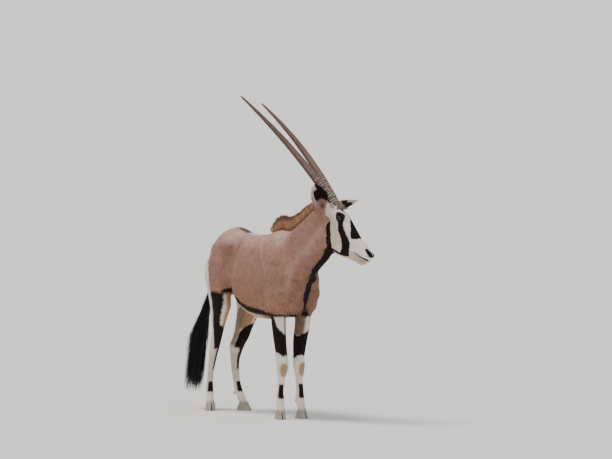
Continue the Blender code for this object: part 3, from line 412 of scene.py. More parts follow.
def shape_neck(flesh):
    # Middle line from inside the chest to the back of the jaw
    flesh.loft(
        [
            (0.30, 0.0, 0.900, 0.120, 0.200),
            (0.42, 0.0, 0.985, 0.098, 0.190),
            (0.503, 0.008, 1.033, 0.084, 0.172),
            (0.578, 0.022, 1.083, 0.075, 0.161),
            (0.646, 0.045, 1.135, 0.067, 0.153),
            (0.692, 0.068, 1.196, 0.060, 0.128),
        ],
        axis=(0.76, 0.10, 0.64),
        blend=0.05,
        cap=0.7,
    )
    # Nape, up to the poll
    flesh.loft(
        [
            (0.40, 0.0, 1.100, 0.045, 0.060),
            (0.52, 0.010, 1.175, 0.042, 0.060),
            (0.62, 0.040, 1.260, 0.044, 0.060),
            (0.685, 0.068, 1.312, 0.044, 0.050),
        ],
        axis=(0.80, 0.18, 0.62),
        blend=0.06,
    )
    # The strap of muscle down each side of the neck, to the shoulder
    for side, bend in ((-1, 0.0), (1, 0.018)):
        flesh.loft(
            [
                (0.540, side * 0.050 + bend, 0.900, 0.026, 0.030),
                (0.560, side * 0.050 + bend, 0.994, 0.027, 0.032),
                (0.590, side * 0.042 + 0.022 + bend, 1.113, 0.026, 0.030),
                (0.648, side * 0.036 + 0.062, 1.275, 0.020, 0.026),
            ],
            blend=0.030,
        )


def shape_legs(flesh):
    for side, toe_out in ((-1, 14), (1, 5)):
        shape_leg(flesh, FORELEGS[side], side, toe_out, 0.025)
        x, y = FORELEGS[side][1][:2]
        flesh.ball((x - 0.048, y, 0.672), (0.024, 0.018, 0.028), blend=0.04)
        x, y = FORELEGS[side][5][:2]
        flesh.ball((x - 0.026, y, KNEE_HEIGHT + 0.012), (0.014, 0.014, 0.020), blend=0.02)
    for side, turn in ((-1, 3), (1, 20)):
        shape_leg(flesh, HINDLEGS[side], side, turn, 0.03)
        ahead, across = facing(side, turn)
        rows = [
            (x - back * ahead.x, y - back * ahead.y, z, 0.012, deep)
            for x, y, z, back, deep in TENDONS[side]
        ]
        flesh.loft(rows, side=across, blend=0.022)


def facing(side, toe_out):
    """Forward and sideways directions of a foot turned out by an angle."""
    turn = math.radians(toe_out) * side
    return Vector((math.cos(turn), math.sin(turn), 0)), (-math.sin(turn), math.cos(turn), 0)


def shape_leg(flesh, rows, side, turn, blend):
    """One leg down into its hooves, with the false hooves behind the fetlock."""
    across = facing(side, turn)[1]
    flesh.loft(rows, side=across, blend=blend, cap=0.5)
    x, y = rows[-3][:2]
    ahead, across = facing(side, FEET[rows is HINDLEGS[side], side][2])
    for step in (-1, 1):
        spot = Vector((x, y, 0.108)) - 0.025 * ahead + 0.0125 * step * Vector(across)
        flesh.ball(spot, (0.0115, 0.0100, 0.0135), blend=0.008, turn=-0.3)


def shape_head(flesh):
    head = {"frame": "head"}
    # Brain case, face and muzzle, along the top line of the head
    flesh.loft(
        [
            (-0.010, 0, -0.090, 0.046, 0.056),
            (0.045, 0, -0.070, 0.062, 0.064),
            (0.105, 0, -0.062, 0.062, 0.066),
            (0.155, 0, -0.056, 0.054, 0.066),
            (0.235, 0, -0.056, 0.043, 0.056),
            (0.305, 0, -0.060, 0.0375, 0.050),
            (0.365, 0, -0.057, 0.0385, 0.049),
            (0.416, 0, -0.060, 0.0375, 0.046),
        ],
        axis=(1, 0, 0),
        blend=0.025,
        cap=0.62,
        **head,
    )
    # Lower jaw, deep at its angle and rising to the chin
    flesh.loft(
        [
            (0.105, 0, -0.112, 0.044, 0.042),
            (0.160, 0, -0.134, 0.042, 0.046),
            (0.210, 0, -0.152, 0.037, 0.048),
            (0.260, 0, -0.155, 0.031, 0.050),
            (0.315, 0, -0.138, 0.026, 0.045),
            (0.360, 0, -0.120, 0.024, 0.033),
            (0.408, 0, -0.102, 0.0245, 0.0225),
            (0.434, 0, -0.097, 0.0225, 0.0175),
        ],
        axis=(1, 0, 0),
        blend=0.045,
        cap=0.55,
        **head,
    )
    # Cheek muscle, ridge under the eye, brow, horn pedicle, root of the ear, lip and nostril's wing
    swellings = (
        ((0.165, 0.027, -0.118), (0.095, 0.026, 0.056), 0.05, -0.50),
        ((0.185, 0.034, -0.074), (0.085, 0.014, 0.016), 0.04, 0.06),
        ((0.126, 0.0520, -0.019), (0.034, 0.011, 0.010), 0.022, -0.12),
        ((0.045, 0.031, -0.018), (0.030, 0.027, 0.022), 0.02, 0.0),
        ((0.022, 0.046, -0.070), (0.028, 0.018, 0.026), 0.055, 0.0),
        ((0.418, 0.020, -0.068), (0.036, 0.019, 0.022), 0.02, 0.10),
        ((0.416, 0.024, -0.034), (0.032, 0.0155, 0.020), 0.014, 0.3),
    )
    for centre, radii, blend, turn in swellings:
        flesh.ball(centre, radii, blend, turn, paired=True, **head)


def carve_face(flesh):
    """The nostrils and the line of the mouth."""
    head = {"frame": "head", "paired": True}
    flesh.ball((0.436, 0.0330, -0.038), (0.0230, 0.0080, 0.0068), 0.005, 0.10, carve=True, **head)
    flesh.loft(
        [
            (0.458, 0.004, -0.074, 0.0070, 0.0024),
            (0.446, 0.022, -0.080, 0.0070, 0.0024),
            (0.420, 0.036, -0.091, 0.0070, 0.0024),
            (0.392, 0.037, -0.100, 0.0065, 0.0022),
            (0.366, 0.035, -0.107, 0.0050, 0.0020),
        ],
        axis=(-1, 0, 0),
        blend=0.003,
        carve=True,
        **head,
    )


def shape_lids(flesh):
    """A raised rim round each eye, thicker above than below."""
    for step in range(16):
        angle = 2 * math.pi * step / 16
        thick = 0.0046 if math.sin(angle) > -0.1 else 0.0038
        centre = (
            EYE_CENTRE.x + 0.0205 * math.cos(angle),
            EYE_CENTRE.y + 0.0105 - 0.0040 * abs(math.cos(angle)),
            EYE_CENTRE.z + 0.0140 * math.sin(angle),
        )
        flesh.ball(centre, (thick + 0.001, thick, thick), 0.006, paired=True, frame="head")


def shape_flesh():
    flesh = Flesh()
    shape_trunk(flesh)
    shape_shoulders(flesh)
    shape_haunches(flesh)
    shape_neck(flesh)
    shape_legs(flesh)
    shape_head(flesh)
    shape_lids(flesh)
    carve_face(flesh)
    return flesh


def frames_along(path, side):
    """At each point of a path: the point, its direction and two cross directions."""
    frames = []
    for i, point in enumerate(path):
        ahead = (path[min(i + 1, len(path) - 1)] - path[max(i - 1, 0)]).normalized()
        across = (side - side.dot(ahead) * ahead).normalized()
        frames.append((point, ahead, across, ahead.cross(across)))
    return frames


def horn_line(side, share):
    """The middle line of a horn: share 0 at the root, 1 at the tip."""
    length = HORN_LENGTHS[side]
    back = HORN_ROOT.x - HORN_BACK * length * share
    out = HORN_ROOT.y + HORN_SPREAD * length * share
    up = HORN_ROOT.z - HORN_DROPS[side] * length * share + HORN_BOWS[side] * 4 * share * (1 - share)
    return on_head(back, side * out, up)


def horn_radius(share):
    return HORN_RADIUS * (1 - 0.40 * share - 0.40 * share**2.6)


EAR_WAYS = {
    # direction from root to tip, and the way the cup opens, in the head's frame
    -1: (Vector((-0.58, -0.72, 0.32)), Vector((0.55, -0.80, 0.10))),
    1: (Vector((0.36, 0.36, 0.85)), Vector((0.86, 0.30, -0.42))),
}


def ear_section(share):
    """Half-width and opening half-angle of the cup at a share of its length."""
    profile = curve_through(
        [
            (0.00, 0.36, 150),
            (0.15, 0.50, 140),
            (0.32, 0.78, 118),
            (0.52, 1.00, 98),
            (0.72, 0.90, 84),
            (0.88, 0.58, 70),
            (0.97, 0.26, 55),
            (1.00, 0.10, 45),
        ]
    )
    wide = float(np.interp(share, profile[:, 0], profile[:, 1])) * EAR_WIDTH / 2
    return wide, math.radians(float(np.interp(share, profile[:, 0], profile[:, 2])))


def to_world(vector):
    """A direction given in the head's frame, in the world."""
    return vector.x * HEAD[0] + vector.y * HEAD[1] + vector.z * HEAD[2]


# One claw seen from above: forward and outward corners, at the sole and at its top
SOLE = (
    (-0.044, 0.0045), (-0.043, 0.020), (-0.028, 0.0300), (-0.004, 0.0325), (0.020, 0.0300),
    (0.040, 0.0215), (0.0535, 0.0105), (0.056, 0.0050), (0.030, 0.0030), (0.0, 0.0022),
)
CORONET = (
    (-0.026, 0.0012), (-0.027, 0.013), (-0.020, 0.0215), (-0.006, 0.0265), (0.008, 0.0265),
    (0.020, 0.0200), (0.027, 0.0100), (0.0285, 0.0020), (0.015, 0.0012), (0.0, 0.0012),
)


def crest_point(flesh, start, direction):
    """Where a line from inside the flesh comes out of it."""
    point = Vector(start)
    for _ in range(60):
        depth = -flesh.at(np.array([point]))[0]
        point = point + direction * 0.8 * float(max(depth, -0.002))
    return point


# Middle of the nape and back, the way its hair stands, and how high it stands
MANE_ROWS = [
    (0.690, 0.070, 1.320, -0.38, -0.08, 0.92, 0.028),
    (0.655, 0.055, 1.290, -0.36, -0.08, 0.93, 0.046),
    (0.590, 0.028, 1.230, -0.32, -0.06, 0.94, 0.058),
    (0.520, 0.010, 1.160, -0.27, -0.04, 0.95, 0.070),
    (0.450, 0.002, 1.110, -0.20, -0.03, 0.97, 0.086),
    (0.370, 0.0, 1.080, -0.16, -0.02, 0.98, 0.096),
    (0.300, 0.0, 1.072, -0.22, -0.02, 0.97, 0.086),
    (0.252, 0.0, 1.066, -0.34, -0.01, 0.94, 0.060),
    (0.215, 0.0, 1.063, -0.50, 0.0, 0.86, 0.028),
]


def mane_line(flesh, count):
    """Evenly placed points on the crest: place, way of the hair and its height."""
    table = curve_through(MANE_ROWS, 6)
    places = np.linspace(0, len(table) - 1, count)
    line = []
    for place in places:
        row = [float(np.interp(place, range(len(table)), table[:, i])) for i in range(7)]
        way = Vector(row[3:6]).normalized()
        line.append((crest_point(flesh, row[:3], way), way, row[6]))
    return line


# The middle line of the tail's dock, and how far from it the skin still belongs to it
TAIL_LINE = [
    (-0.490, 0.000, 1.045), (-0.545, -0.002, 1.012), (-0.572, -0.010, 0.950), (-0.578, -0.022, 0.880),
    (-0.578, -0.036, 0.810), (-0.579, -0.048, 0.740), (-0.582, -0.060, 0.665),
]
DOCK_REACH = 0.034


def add_dock(flesh):
    """The fleshy part of the tail, grown out of the rump."""
    rows = []
    for i, (x, y, z) in enumerate(TAIL_LINE):
        radius = TAIL_RADIUS * (1 - 0.50 * i / (len(TAIL_LINE) - 1)) - 0.002
        rows.append((x, y, z, radius, radius))
    flesh.loft(rows, axis=(0.5, 0, 0.87), blend=0.018)


def depth_of_coat(points):
    """How far the skin lies below the coat's outer surface."""
    face = smooth(head_side(points) / 0.10)
    return COAT_DEPTH + (FACE_DEPTH - COAT_DEPTH) * face


def smooth(share):
    share = np.clip(share, 0, 1)
    return share * share * (3 - 2 * share)


def head_side(points):
    """Distance in front of the plane between head and neck."""
    normal = to_world(Vector((0.60, 0.0, 0.80)))
    return (points - np.array(on_head(-0.100, 0.0, 0.0))) @ np.array(normal)


def spaced(low, fine_low, fine_high, high, coarse, fine):
    """Grid lines that lie closer together over the head."""
    parts = []
    spans = ((low, fine_low, coarse), (fine_low, fine_high, fine), (fine_high, high, coarse))
    for start, end, step in spans:
        count = max(int(math.ceil((end - start) / step)), 0)
        parts.append(start + (end - start) * np.arange(count) / max(count, 1))
    lines = np.concatenate(parts)
    return np.append(lines, high)


def sample(flesh, lines):
    """The field on a grid, worked out only in the blocks near the surface."""
    grid = np.full([len(line) for line in lines], 1.0, np.float32)
    cuts = [range(0, len(line) - 1, BLOCK) for line in lines]
    for i in cuts[0]:
        for j in cuts[1]:
            for k in cuts[2]:
                spans = [line[s : s + BLOCK + 1] for line, s in zip(lines, (i, j, k))]
                low = np.array([s[0] for s in spans])
                high = np.array([s[-1] for s in spans])
                value = flesh.at(((low + high) / 2)[None])[0]
                part = tuple(slice(s, s + BLOCK + 1) for s in (i, j, k))
                if abs(value) < np.linalg.norm(high - low) / 2 * 1.35:
                    points = np.stack(np.meshgrid(*spans, indexing="ij"), -1).reshape(-1, 3)
                    field = flesh.at(points) + depth_of_coat(points)
                    grid[part] = field.reshape([len(s) for s in spans])
                elif value < 0:
                    grid[part] = -1.0
    return grid


def surface(grid, lines):
    """Corners and quads of the zero surface: one corner in each cell that it crosses."""
    inside = grid < 0
    count = np.zeros(np.array(grid.shape) - 1, np.uint8)
    corners = list(np.ndindex(2, 2, 2))
    for c in corners:
        count += inside[tuple(slice(o, o + n) for o, n in zip(c, count.shape))]
    cells = np.argwhere((count > 0) & (count < 8))
    number = np.full(count.shape, -1, np.int32)
    number[tuple(cells.T)] = np.arange(len(cells))
    total, found = np.zeros((len(cells), 3)), np.zeros(len(cells))
    for a in corners:
        for axis in range(3):
            if a[axis]:
                continue
            b = np.array(a)
            b[axis] = 1
            va, vb = grid[tuple((cells + a).T)], grid[tuple((cells + b).T)]
            crossed = (va < 0) != (vb < 0)
            share = va[crossed] / (va[crossed] - vb[crossed])
            total[crossed] += cells[crossed] + a + share[:, None] * (b - a)
            found[crossed] += 1
    places = total / found[:, None]
    points = np.stack([np.interp(places[:, i], range(len(lines[i])), lines[i]) for i in range(3)], 1)
    quads = []
    for axis in range(3):
        u, v = (axis + 1) % 3, (axis + 2) % 3
        first = inside[tuple(slice(0, -1) if i == axis else slice(None) for i in range(3))]
        last = inside[tuple(slice(1, None) if i == axis else slice(None) for i in range(3))]
        edges = np.argwhere(first != last)
        edges = edges[(edges[:, u] > 0) & (edges[:, v] > 0)]
        edges = edges[(edges[:, u] < count.shape[u]) & (edges[:, v] < count.shape[v])]
        ring = []
        for du, dv in ((1, 1), (0, 1), (0, 0), (1, 0)):
            at = edges.copy()
            at[:, u] -= du
            at[:, v] -= dv
            ring.append(number[tuple(at.T)])
        ring = np.stack(ring, 1)
        outward = first[tuple(edges.T)]
        ring[~outward] = ring[~outward][:, ::-1]
        quads.append(ring)
    return points, np.vstack(quads)


def find_shift():
    """From the animal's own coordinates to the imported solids' place."""
    low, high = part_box("eye_right")
    eye = on_head(EYE_CENTRE.x, -EYE_CENTRE.y, EYE_CENTRE.z)
    shift = (low + high) / 2 - eye
    return np.array((shift.x, shift.y, 0.0))


SHIFT = find_shift()


def mesh_object(name, points, faces):
    """A smooth mesh from arrays of points and of faces with equally many corners."""
    points = np.asarray(points, float) + SHIFT
    faces = np.asarray(faces, np.int32)
    mesh = bpy.data.meshes.new(name)
    mesh.vertices.add(len(points))
    mesh.vertices.foreach_set("co", points.astype(np.float32).ravel())
    mesh.loops.add(faces.size)
    mesh.loops.foreach_set("vertex_index", faces.ravel())
    mesh.polygons.add(len(faces))
    mesh.polygons.foreach_set("loop_start", np.arange(0, faces.size, faces.shape[1], dtype=np.int32))
    mesh.update(calc_edges=True)
    mesh.polygons.foreach_set("use_smooth", np.ones(len(faces), bool))
    thing = bpy.data.objects.new(name, mesh)
    bpy.context.scene.collection.objects.link(thing)
    return thing


def dress(thing, material, slot, *nodes):
    """Give a piece its material, its place on the body and the nodes it stands for; its slot is not used.
    """
    thing.data.materials.append(material)
    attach(thing, "root")
    if nodes:
        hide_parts(*nodes)


def paint(thing, colours):
    """One colour at each corner point of a mesh."""
    layer = thing.data.color_attributes.new("colour", "FLOAT_COLOR", "POINT")
    full = np.ones((len(colours), 4), np.float32)
    full[:, :3] = colours
    layer.data.foreach_set("color", full.ravel())


def unwrap(thing, places):
    """A UV map with one place for each corner point of a mesh."""
    corners = np.empty(len(thing.data.loops), np.int32)
    thing.data.loops.foreach_get("vertex_index", corners)
    layer = thing.data.uv_layers.new(name="OFBake")
    layer.data.foreach_set("uv", places[corners].astype(np.float32).ravel())


# Colours as seen, red, green and blue out of 255
SEEN = {
    "coat": (153, 114, 98),
    # back: used as painted highlight, on the top of the back and on lit edges of neck and shoulder
    "back": (196, 162, 150),
    "low_flank": (160, 115, 92),
    # hollow: painted shade, in the flank's hollow, on the neck's front, between the ribs and behind the
    # shoulder
    "hollow": (132, 96, 80),
    "black": (26, 17, 17),
    "warm_black": (48, 28, 24),
    # white: also laid as painted highlight along the spine and on the back edge of the buttocks
    "white": (236, 228, 220),
    "cheek": (208, 186, 166),
    "cream": (226, 194, 146),
    "leg": (230, 217, 200),
    "tan": (164, 126, 84),
    "pinkish": (205, 184, 168),
    "temple": (112, 70, 52),
    "chest": (141, 103, 83),
    # Painted shade on the inner sides of the upper legs, also laid thinly just over the hooves
    "leg_shade": (128, 104, 86),
    "mane": (178, 130, 98),
    "mane_tip": (64, 38, 28),
    "tail": (22, 19, 22),
    "ring": (120, 98, 84),
    # Painted highlight on the upper side of the horn's ring ridges
    "painted_ring_highlight": (200, 188, 174),
    # Painted shade: between the horn's rings and along its underside
    "horn_shade": (58, 44, 38),
    "horn_tip": (104, 78, 62),
    "hoof": (150, 140, 128),
    "hoof_line": (176, 166, 152),
    "iris": (48, 26, 16),
    "pupil": (6, 5, 6),
    "nose": (22, 14, 15),
    "ear_inside": (30, 20, 18),
    "ear_pink": (198, 160, 142),
}


def linear(name):
    """A seen colour as the shader takes it."""
    share = np.array(SEEN[name], float) / 255
    return np.where(share <= 0.04045, share / 12.92, ((share + 0.055) / 1.055) ** 2.4)


PAINT = {name: linear(name) for name in SEEN}


def over(colours, name, share):
    """Paint one colour over others by a share for each point."""
    share = np.clip(share, 0, 1)[:, None]
    return colours * (1 - share) + PAINT[name] * share


def painted(base, count, *layers):
    """A base colour for each point, with others painted over it by their shares."""
    colours = np.tile(PAINT[base], (count, 1))
    for name, share in layers:
        colours = over(colours, name, share)
    return colours


def outline_distance(u, v, outline):
    """Distance to a closed outline in a plane, negative inside it."""
    outline = np.asarray(outline, float)
    best = np.full(len(u), 9.0)
    inside = np.zeros(len(u), bool)
    for (au, av), (bu, bv) in zip(outline, np.roll(outline, -1, axis=0)):
        du, dv = bu - au, bv - av
        along = np.clip(((u - au) * du + (v - av) * dv) / (du * du + dv * dv), 0, 1)
        best = np.minimum(best, np.hypot(u - au - along * du, v - av - along * dv))
        if dv != 0:
            crosses = (av > v) != (bv > v)
            inside ^= crosses & (u < au + (v - av) * du / dv)
    return np.where(inside, -best, best)


def line_distance(points, line):
    """Distance from points to a bent line, and the share of the line's length there."""
    line = np.asarray(line, float)
    best = np.full(len(points), 9.0)
    share = np.zeros(len(points))
    for number, (a, b) in enumerate(zip(line, line[1:])):
        way = b - a
        along = np.clip((points - a) @ way / (way @ way), 0, 1)
        away = np.sqrt(((points - a - along[:, None] * way) ** 2).sum(1))
        nearer = away < best
        best = np.where(nearer, away, best)
        share = np.where(nearer, (number + along) / (len(line) - 1), share)
    return best, share


def edge(distance, soft=0.004):
    """A share that is 1 inside a distance and 0 outside it."""
    return smooth(0.5 - distance / (2 * soft))


def ragged(points, size=0.003):
    """A small wandering offset that keeps the edges of markings uneven."""
    x, y, z = (points * 95).T
    wander = np.sin(x + 1.7 * np.sin(z)) + np.sin(1.3 * y + z) + np.sin(2.1 * z + 0.7 * x)
    fine = np.sin(3.1 * x + 2.3 * y) + np.sin(3.7 * y - 2.9 * z)
    return size * (wander / 3 + fine / 4)


# Markings on the body: outlines and edges as (forward, height) seen from the side, lines as points
FLANK_STRIPE = (
    (0.400, 0.676), (0.300, 0.673), (0.201, 0.680), (0.123, 0.699), (0.055, 0.729), (0.0, 0.768),
    (-0.040, 0.800), (-0.070, 0.808), (-0.070, 0.778), (-0.045, 0.765), (-0.010, 0.715), (0.050, 0.671),
    (0.115, 0.653), (0.184, 0.643), (0.300, 0.646), (0.400, 0.650),
)
HAUNCH_BAND = ((-0.060, 0, 0.795), (-0.120, 0, 0.804), (-0.186, 0, 0.800), (-0.216, 0, 0.778))
BELLY_EDGE = (
    (-0.60, 0.70), (-0.20, 0.755), (-0.07, 0.782), (-0.010, 0.719), (0.050, 0.675), (0.115, 0.657),
    (0.184, 0.647), (0.42, 0.644),
)
THROAT_STRIPE = (
    (0.763, 0.050, 1.056), (0.748, 0.050, 1.030), (0.684, 0.025, 0.960), (0.573, 0.038, 0.889),
    (0.531, 0.034, 0.819), (0.520, 0.024, 0.770), (0.490, 0.040, 0.699), (0.402, 0.096, 0.660),
)
CHEST_BAND = ((0.450, 0.0, 0.648), (0.415, 0.070, 0.636), (0.385, 0.125, 0.648), (0.330, 0.160, 0.655))

# Markings on the head, in its own frame: outlines as (forward, up), lines as (forward, left, up)
EYE_STRIPE = (
    (0.099, -0.036), (0.108, -0.022), (0.128, -0.010), (0.146, -0.008), (0.172, -0.027), (0.176, -0.040),
    (0.194, -0.056), (0.243, -0.073), (0.279, -0.082), (0.301, -0.090), (0.325, -0.110), (0.345, -0.132),
    (0.362, -0.152), (0.341, -0.181), (0.311, -0.181), (0.300, -0.160), (0.284, -0.143), (0.258, -0.124),
    (0.228, -0.109), (0.200, -0.098), (0.155, -0.068), (0.128, -0.062), (0.110, -0.050),
)
NOSE_PATCH = (
    (0.166, 0.030), (0.174, 0.003), (0.192, -0.006), (0.233, -0.032), (0.282, -0.068), (0.296, -0.066),
    (0.314, -0.039), (0.329, -0.0144), (0.345, 0.030),
)
CHEEK_STRAP = (
    (0.074, -0.104), (0.083, -0.096), (0.112, -0.094), (0.194, -0.154), (0.264, -0.205), (0.275, -0.250),
    (0.235, -0.250), (0.234, -0.225), (0.176, -0.178), (0.101, -0.121),
)
JAW_LINE = ((0.250, 0.0, -0.210), (0.292, 0.0, -0.194), (0.322, 0.0, -0.181), (0.358, 0.0, -0.151))
MOUTH_LINE = ((0.460, 0.0, -0.073), (0.446, 0.0, -0.080), (0.420, 0.0, -0.091), (0.366, 0.0, -0.107))
NOSTRIL = ((0.404, 0.0, -0.037), (0.452, 0.0, -0.036))
# How much longer than high the dark patch round each eye is
EYE_STRETCH = 1.35


def head_places(points):
    """Points in the head's frame: forward, left and up."""
    return (points - np.array(POLL)) @ np.array([list(axis) for axis in HEAD]).T


def head_colours(points):
    """The face, its black stripes and its dark nose."""
    f, l, u = head_places(points).T
    side = np.abs(l)
    wander = ragged(points, 0.0018)
    lid = np.hypot((f - EYE_CENTRE.x) / EYE_STRETCH, u - EYE_CENTRE.z) - 0.0175
    # The markings stand higher in the world than their outlines say, most so at the nose
    lift = 0.0097 + 0.0214 * f
    f, u = f + 0.795 * lift, u - 0.609 * lift
    flat = np.stack([f, np.zeros_like(f), u], 1)
    on_side = edge(0.020 - side)
    temple = edge(np.hypot((f - 0.052) / 1.5, u + 0.034) - 0.014, 0.010) * on_side
    chin = np.maximum(u + 0.110 - 0.385 * (f - 0.368), 0.335 - f)
    strap = edge(outline_distance(f, u, CHEEK_STRAP) + wander, 0.003) * edge(0.018 - side, 0.006)
    stripe = edge(outline_distance(f, u, EYE_STRIPE) + wander, 0.003) * edge(0.016 - side, 0.005)
    brow = edge(np.hypot(f - 0.150, u - 0.002) - 0.013, 0.006) * edge(0.030 - side)
    jaw = line_distance(flat, JAW_LINE)[0] - 0.007
    midline = side - 0.010 - 0.017 * smooth((0.15 - f) / 0.05)
    midline = np.maximum(midline, np.maximum(0.020 - f, f - 0.19))
    crown = np.maximum(np.hypot(f - 0.040, side - 0.022) - 0.040, -u - 0.020)
    to_nostril, back = line_distance(flat, NOSTRIL)
    nostril = np.maximum(to_nostril - 0.0085 - 0.0065 * back, 0.012 - side)
    to_mouth, back = line_distance(flat, MOUTH_LINE)
    return painted(
        "white",
        len(points),
        ("cheek", edge(u + 0.070 + 0.1 * (f - 0.2), 0.03) * edge(f - 0.30, 0.04)),
        ("coat", edge(u + 0.76 * f + 0.044 + wander, 0.006)),
        ("coat", edge(f + 0.015 + wander, 0.010)),
        ("temple", 0.75 * temple),
        ("cheek", edge(chin, 0.006)),
        ("black", strap * edge(0.115 - f, 0.010)),
        ("low_flank", strap * edge(f - 0.115, 0.010)),
        ("black", stripe),
        ("tan", 0.7 * brow),
        ("black", edge(jaw + wander, 0.003)),
        ("black", edge(outline_distance(f, u, NOSE_PATCH) + wander, 0.003)),
        ("black", edge(np.maximum(midline, -u - 0.022) + wander, 0.004)),
        ("warm_black", edge(crown + wander, 0.006)),
        ("nose", edge(nostril, 0.003)),
        ("nose", edge(to_mouth - 0.0065 + 0.0040 * back, 0.0025)),
        ("nose", edge(np.maximum(lid, 0.040 - side), 0.002)),
    )


def leg_places(points, rows):
    """Angle round a leg from its front, positive outwards, in degrees, and height."""
    table = np.array(curve_through(rows))[::-1]
    side = np.sign(table[0, 1])
    z = points[:, 2]
    x = points[:, 0] - np.interp(z, table[:, 2], table[:, 0])
    y = (points[:, 1] - np.interp(z, table[:, 2], table[:, 1])) * side
    return np.degrees(np.arctan2(y, x)), z


def foreleg_colours(points, rows):
    """Black between elbow and knee, white above it in front and below it, with an ochre knee."""
    angle, z = leg_places(points, rows)
    wander = ragged(points)
    low = np.interp(
        angle,
        (-180, -120, -73, -9, 16, 61, 120, 180),
        (0.384, 0.376, 0.384, 0.402, 0.394, 0.418, 0.420, 0.384),
    )
    high = np.interp(
        angle,
        (-180, -60, -13, 13, 41, 56, 75, 180),
        (0.560, 0.520, 0.536, 0.553, 0.580, 0.620, 0.690, 0.600),
    )
    knee = np.hypot((angle - 10) / 44, (z - 0.309) / 0.045) - 1 + 30 * wander
    colours = painted(
        "leg",
        len(points),
        # Painted shade on the inner side of the upper foreleg
        ("leg_shade", edge(np.abs(angle + 100) - 88, 10) * edge(high - z, 0.006)),
        ("coat", edge(high + 0.012 - z, 0.008) * edge(115 - np.abs(angle), 15)),
        ("black", edge(np.maximum(low - z, z - high) + wander, 0.005)),
        ("tan", 0.9 * edge(knee, 0.22)),
    )
    return lower_leg(colours, angle, z, wander, (0.128, 0.217))


def lower_leg(colours, angle, z, wander, mark):
    """The black mark above the hoof, and the hair just over the hoof darkened by about a third with the
    legs' shade colour.
    """
    front = edge(np.abs(angle - 10) - 54, 10)
    spot = edge(np.maximum(mark[0] - z, z - mark[1]) + wander, 0.006)
    colours = over(colours, "black", spot * front)
    # The lowest hair, just over the hoof, darkened with the shade colour
    return over(colours, "leg_shade", 0.35 * edge(z - 0.064, 0.006))


def hindleg_colours(points, rows):
    """A black outer thigh, a white and ochre front, and a white shank."""
    side = 1 if rows[0][1] > 0 else -1
    angle, z = leg_places(points, rows)
    wander = ragged(points)
    outer_low = np.interp(z, (0.40, 0.50, 0.535, 0.56, 0.66, 0.75), (-72, -70, -20, 18, 24, 16))
    outer_high = np.interp(z, (0.40, 0.435, 0.493, 0.544, 0.66, 0.75), (36, 44, 78, 96, 102, 106))
    away = np.maximum(outer_low - angle, angle - outer_high) * 0.0009
    line = np.maximum((np.abs(angle - 26 * side) - 33) * 0.0006, np.maximum(0.262 - z, z - 0.44))
    colours = painted(
        "leg",
        len(points),
        ("pinkish", 0.8 * edge(np.abs(z - 0.27) - 0.10, 0.04)),
        ("tan", 0.9 * edge(np.abs(angle + 42) - 50, 8) * edge(0.52 - z, 0.015)),
        # Painted shade on the inner back of the thigh, above the hock
        ("leg_shade", 0.85 * edge(np.abs(angle + 125) - 50, 14) * edge(0.41 - z, 0.02)),
        ("black", edge(np.maximum(away, 0.398 - z) + wander, 0.005)),
        ("warm_black", edge(line + wander, 0.005)),
    )
    return lower_leg(colours, angle, z, wander, (0.118, 0.188))


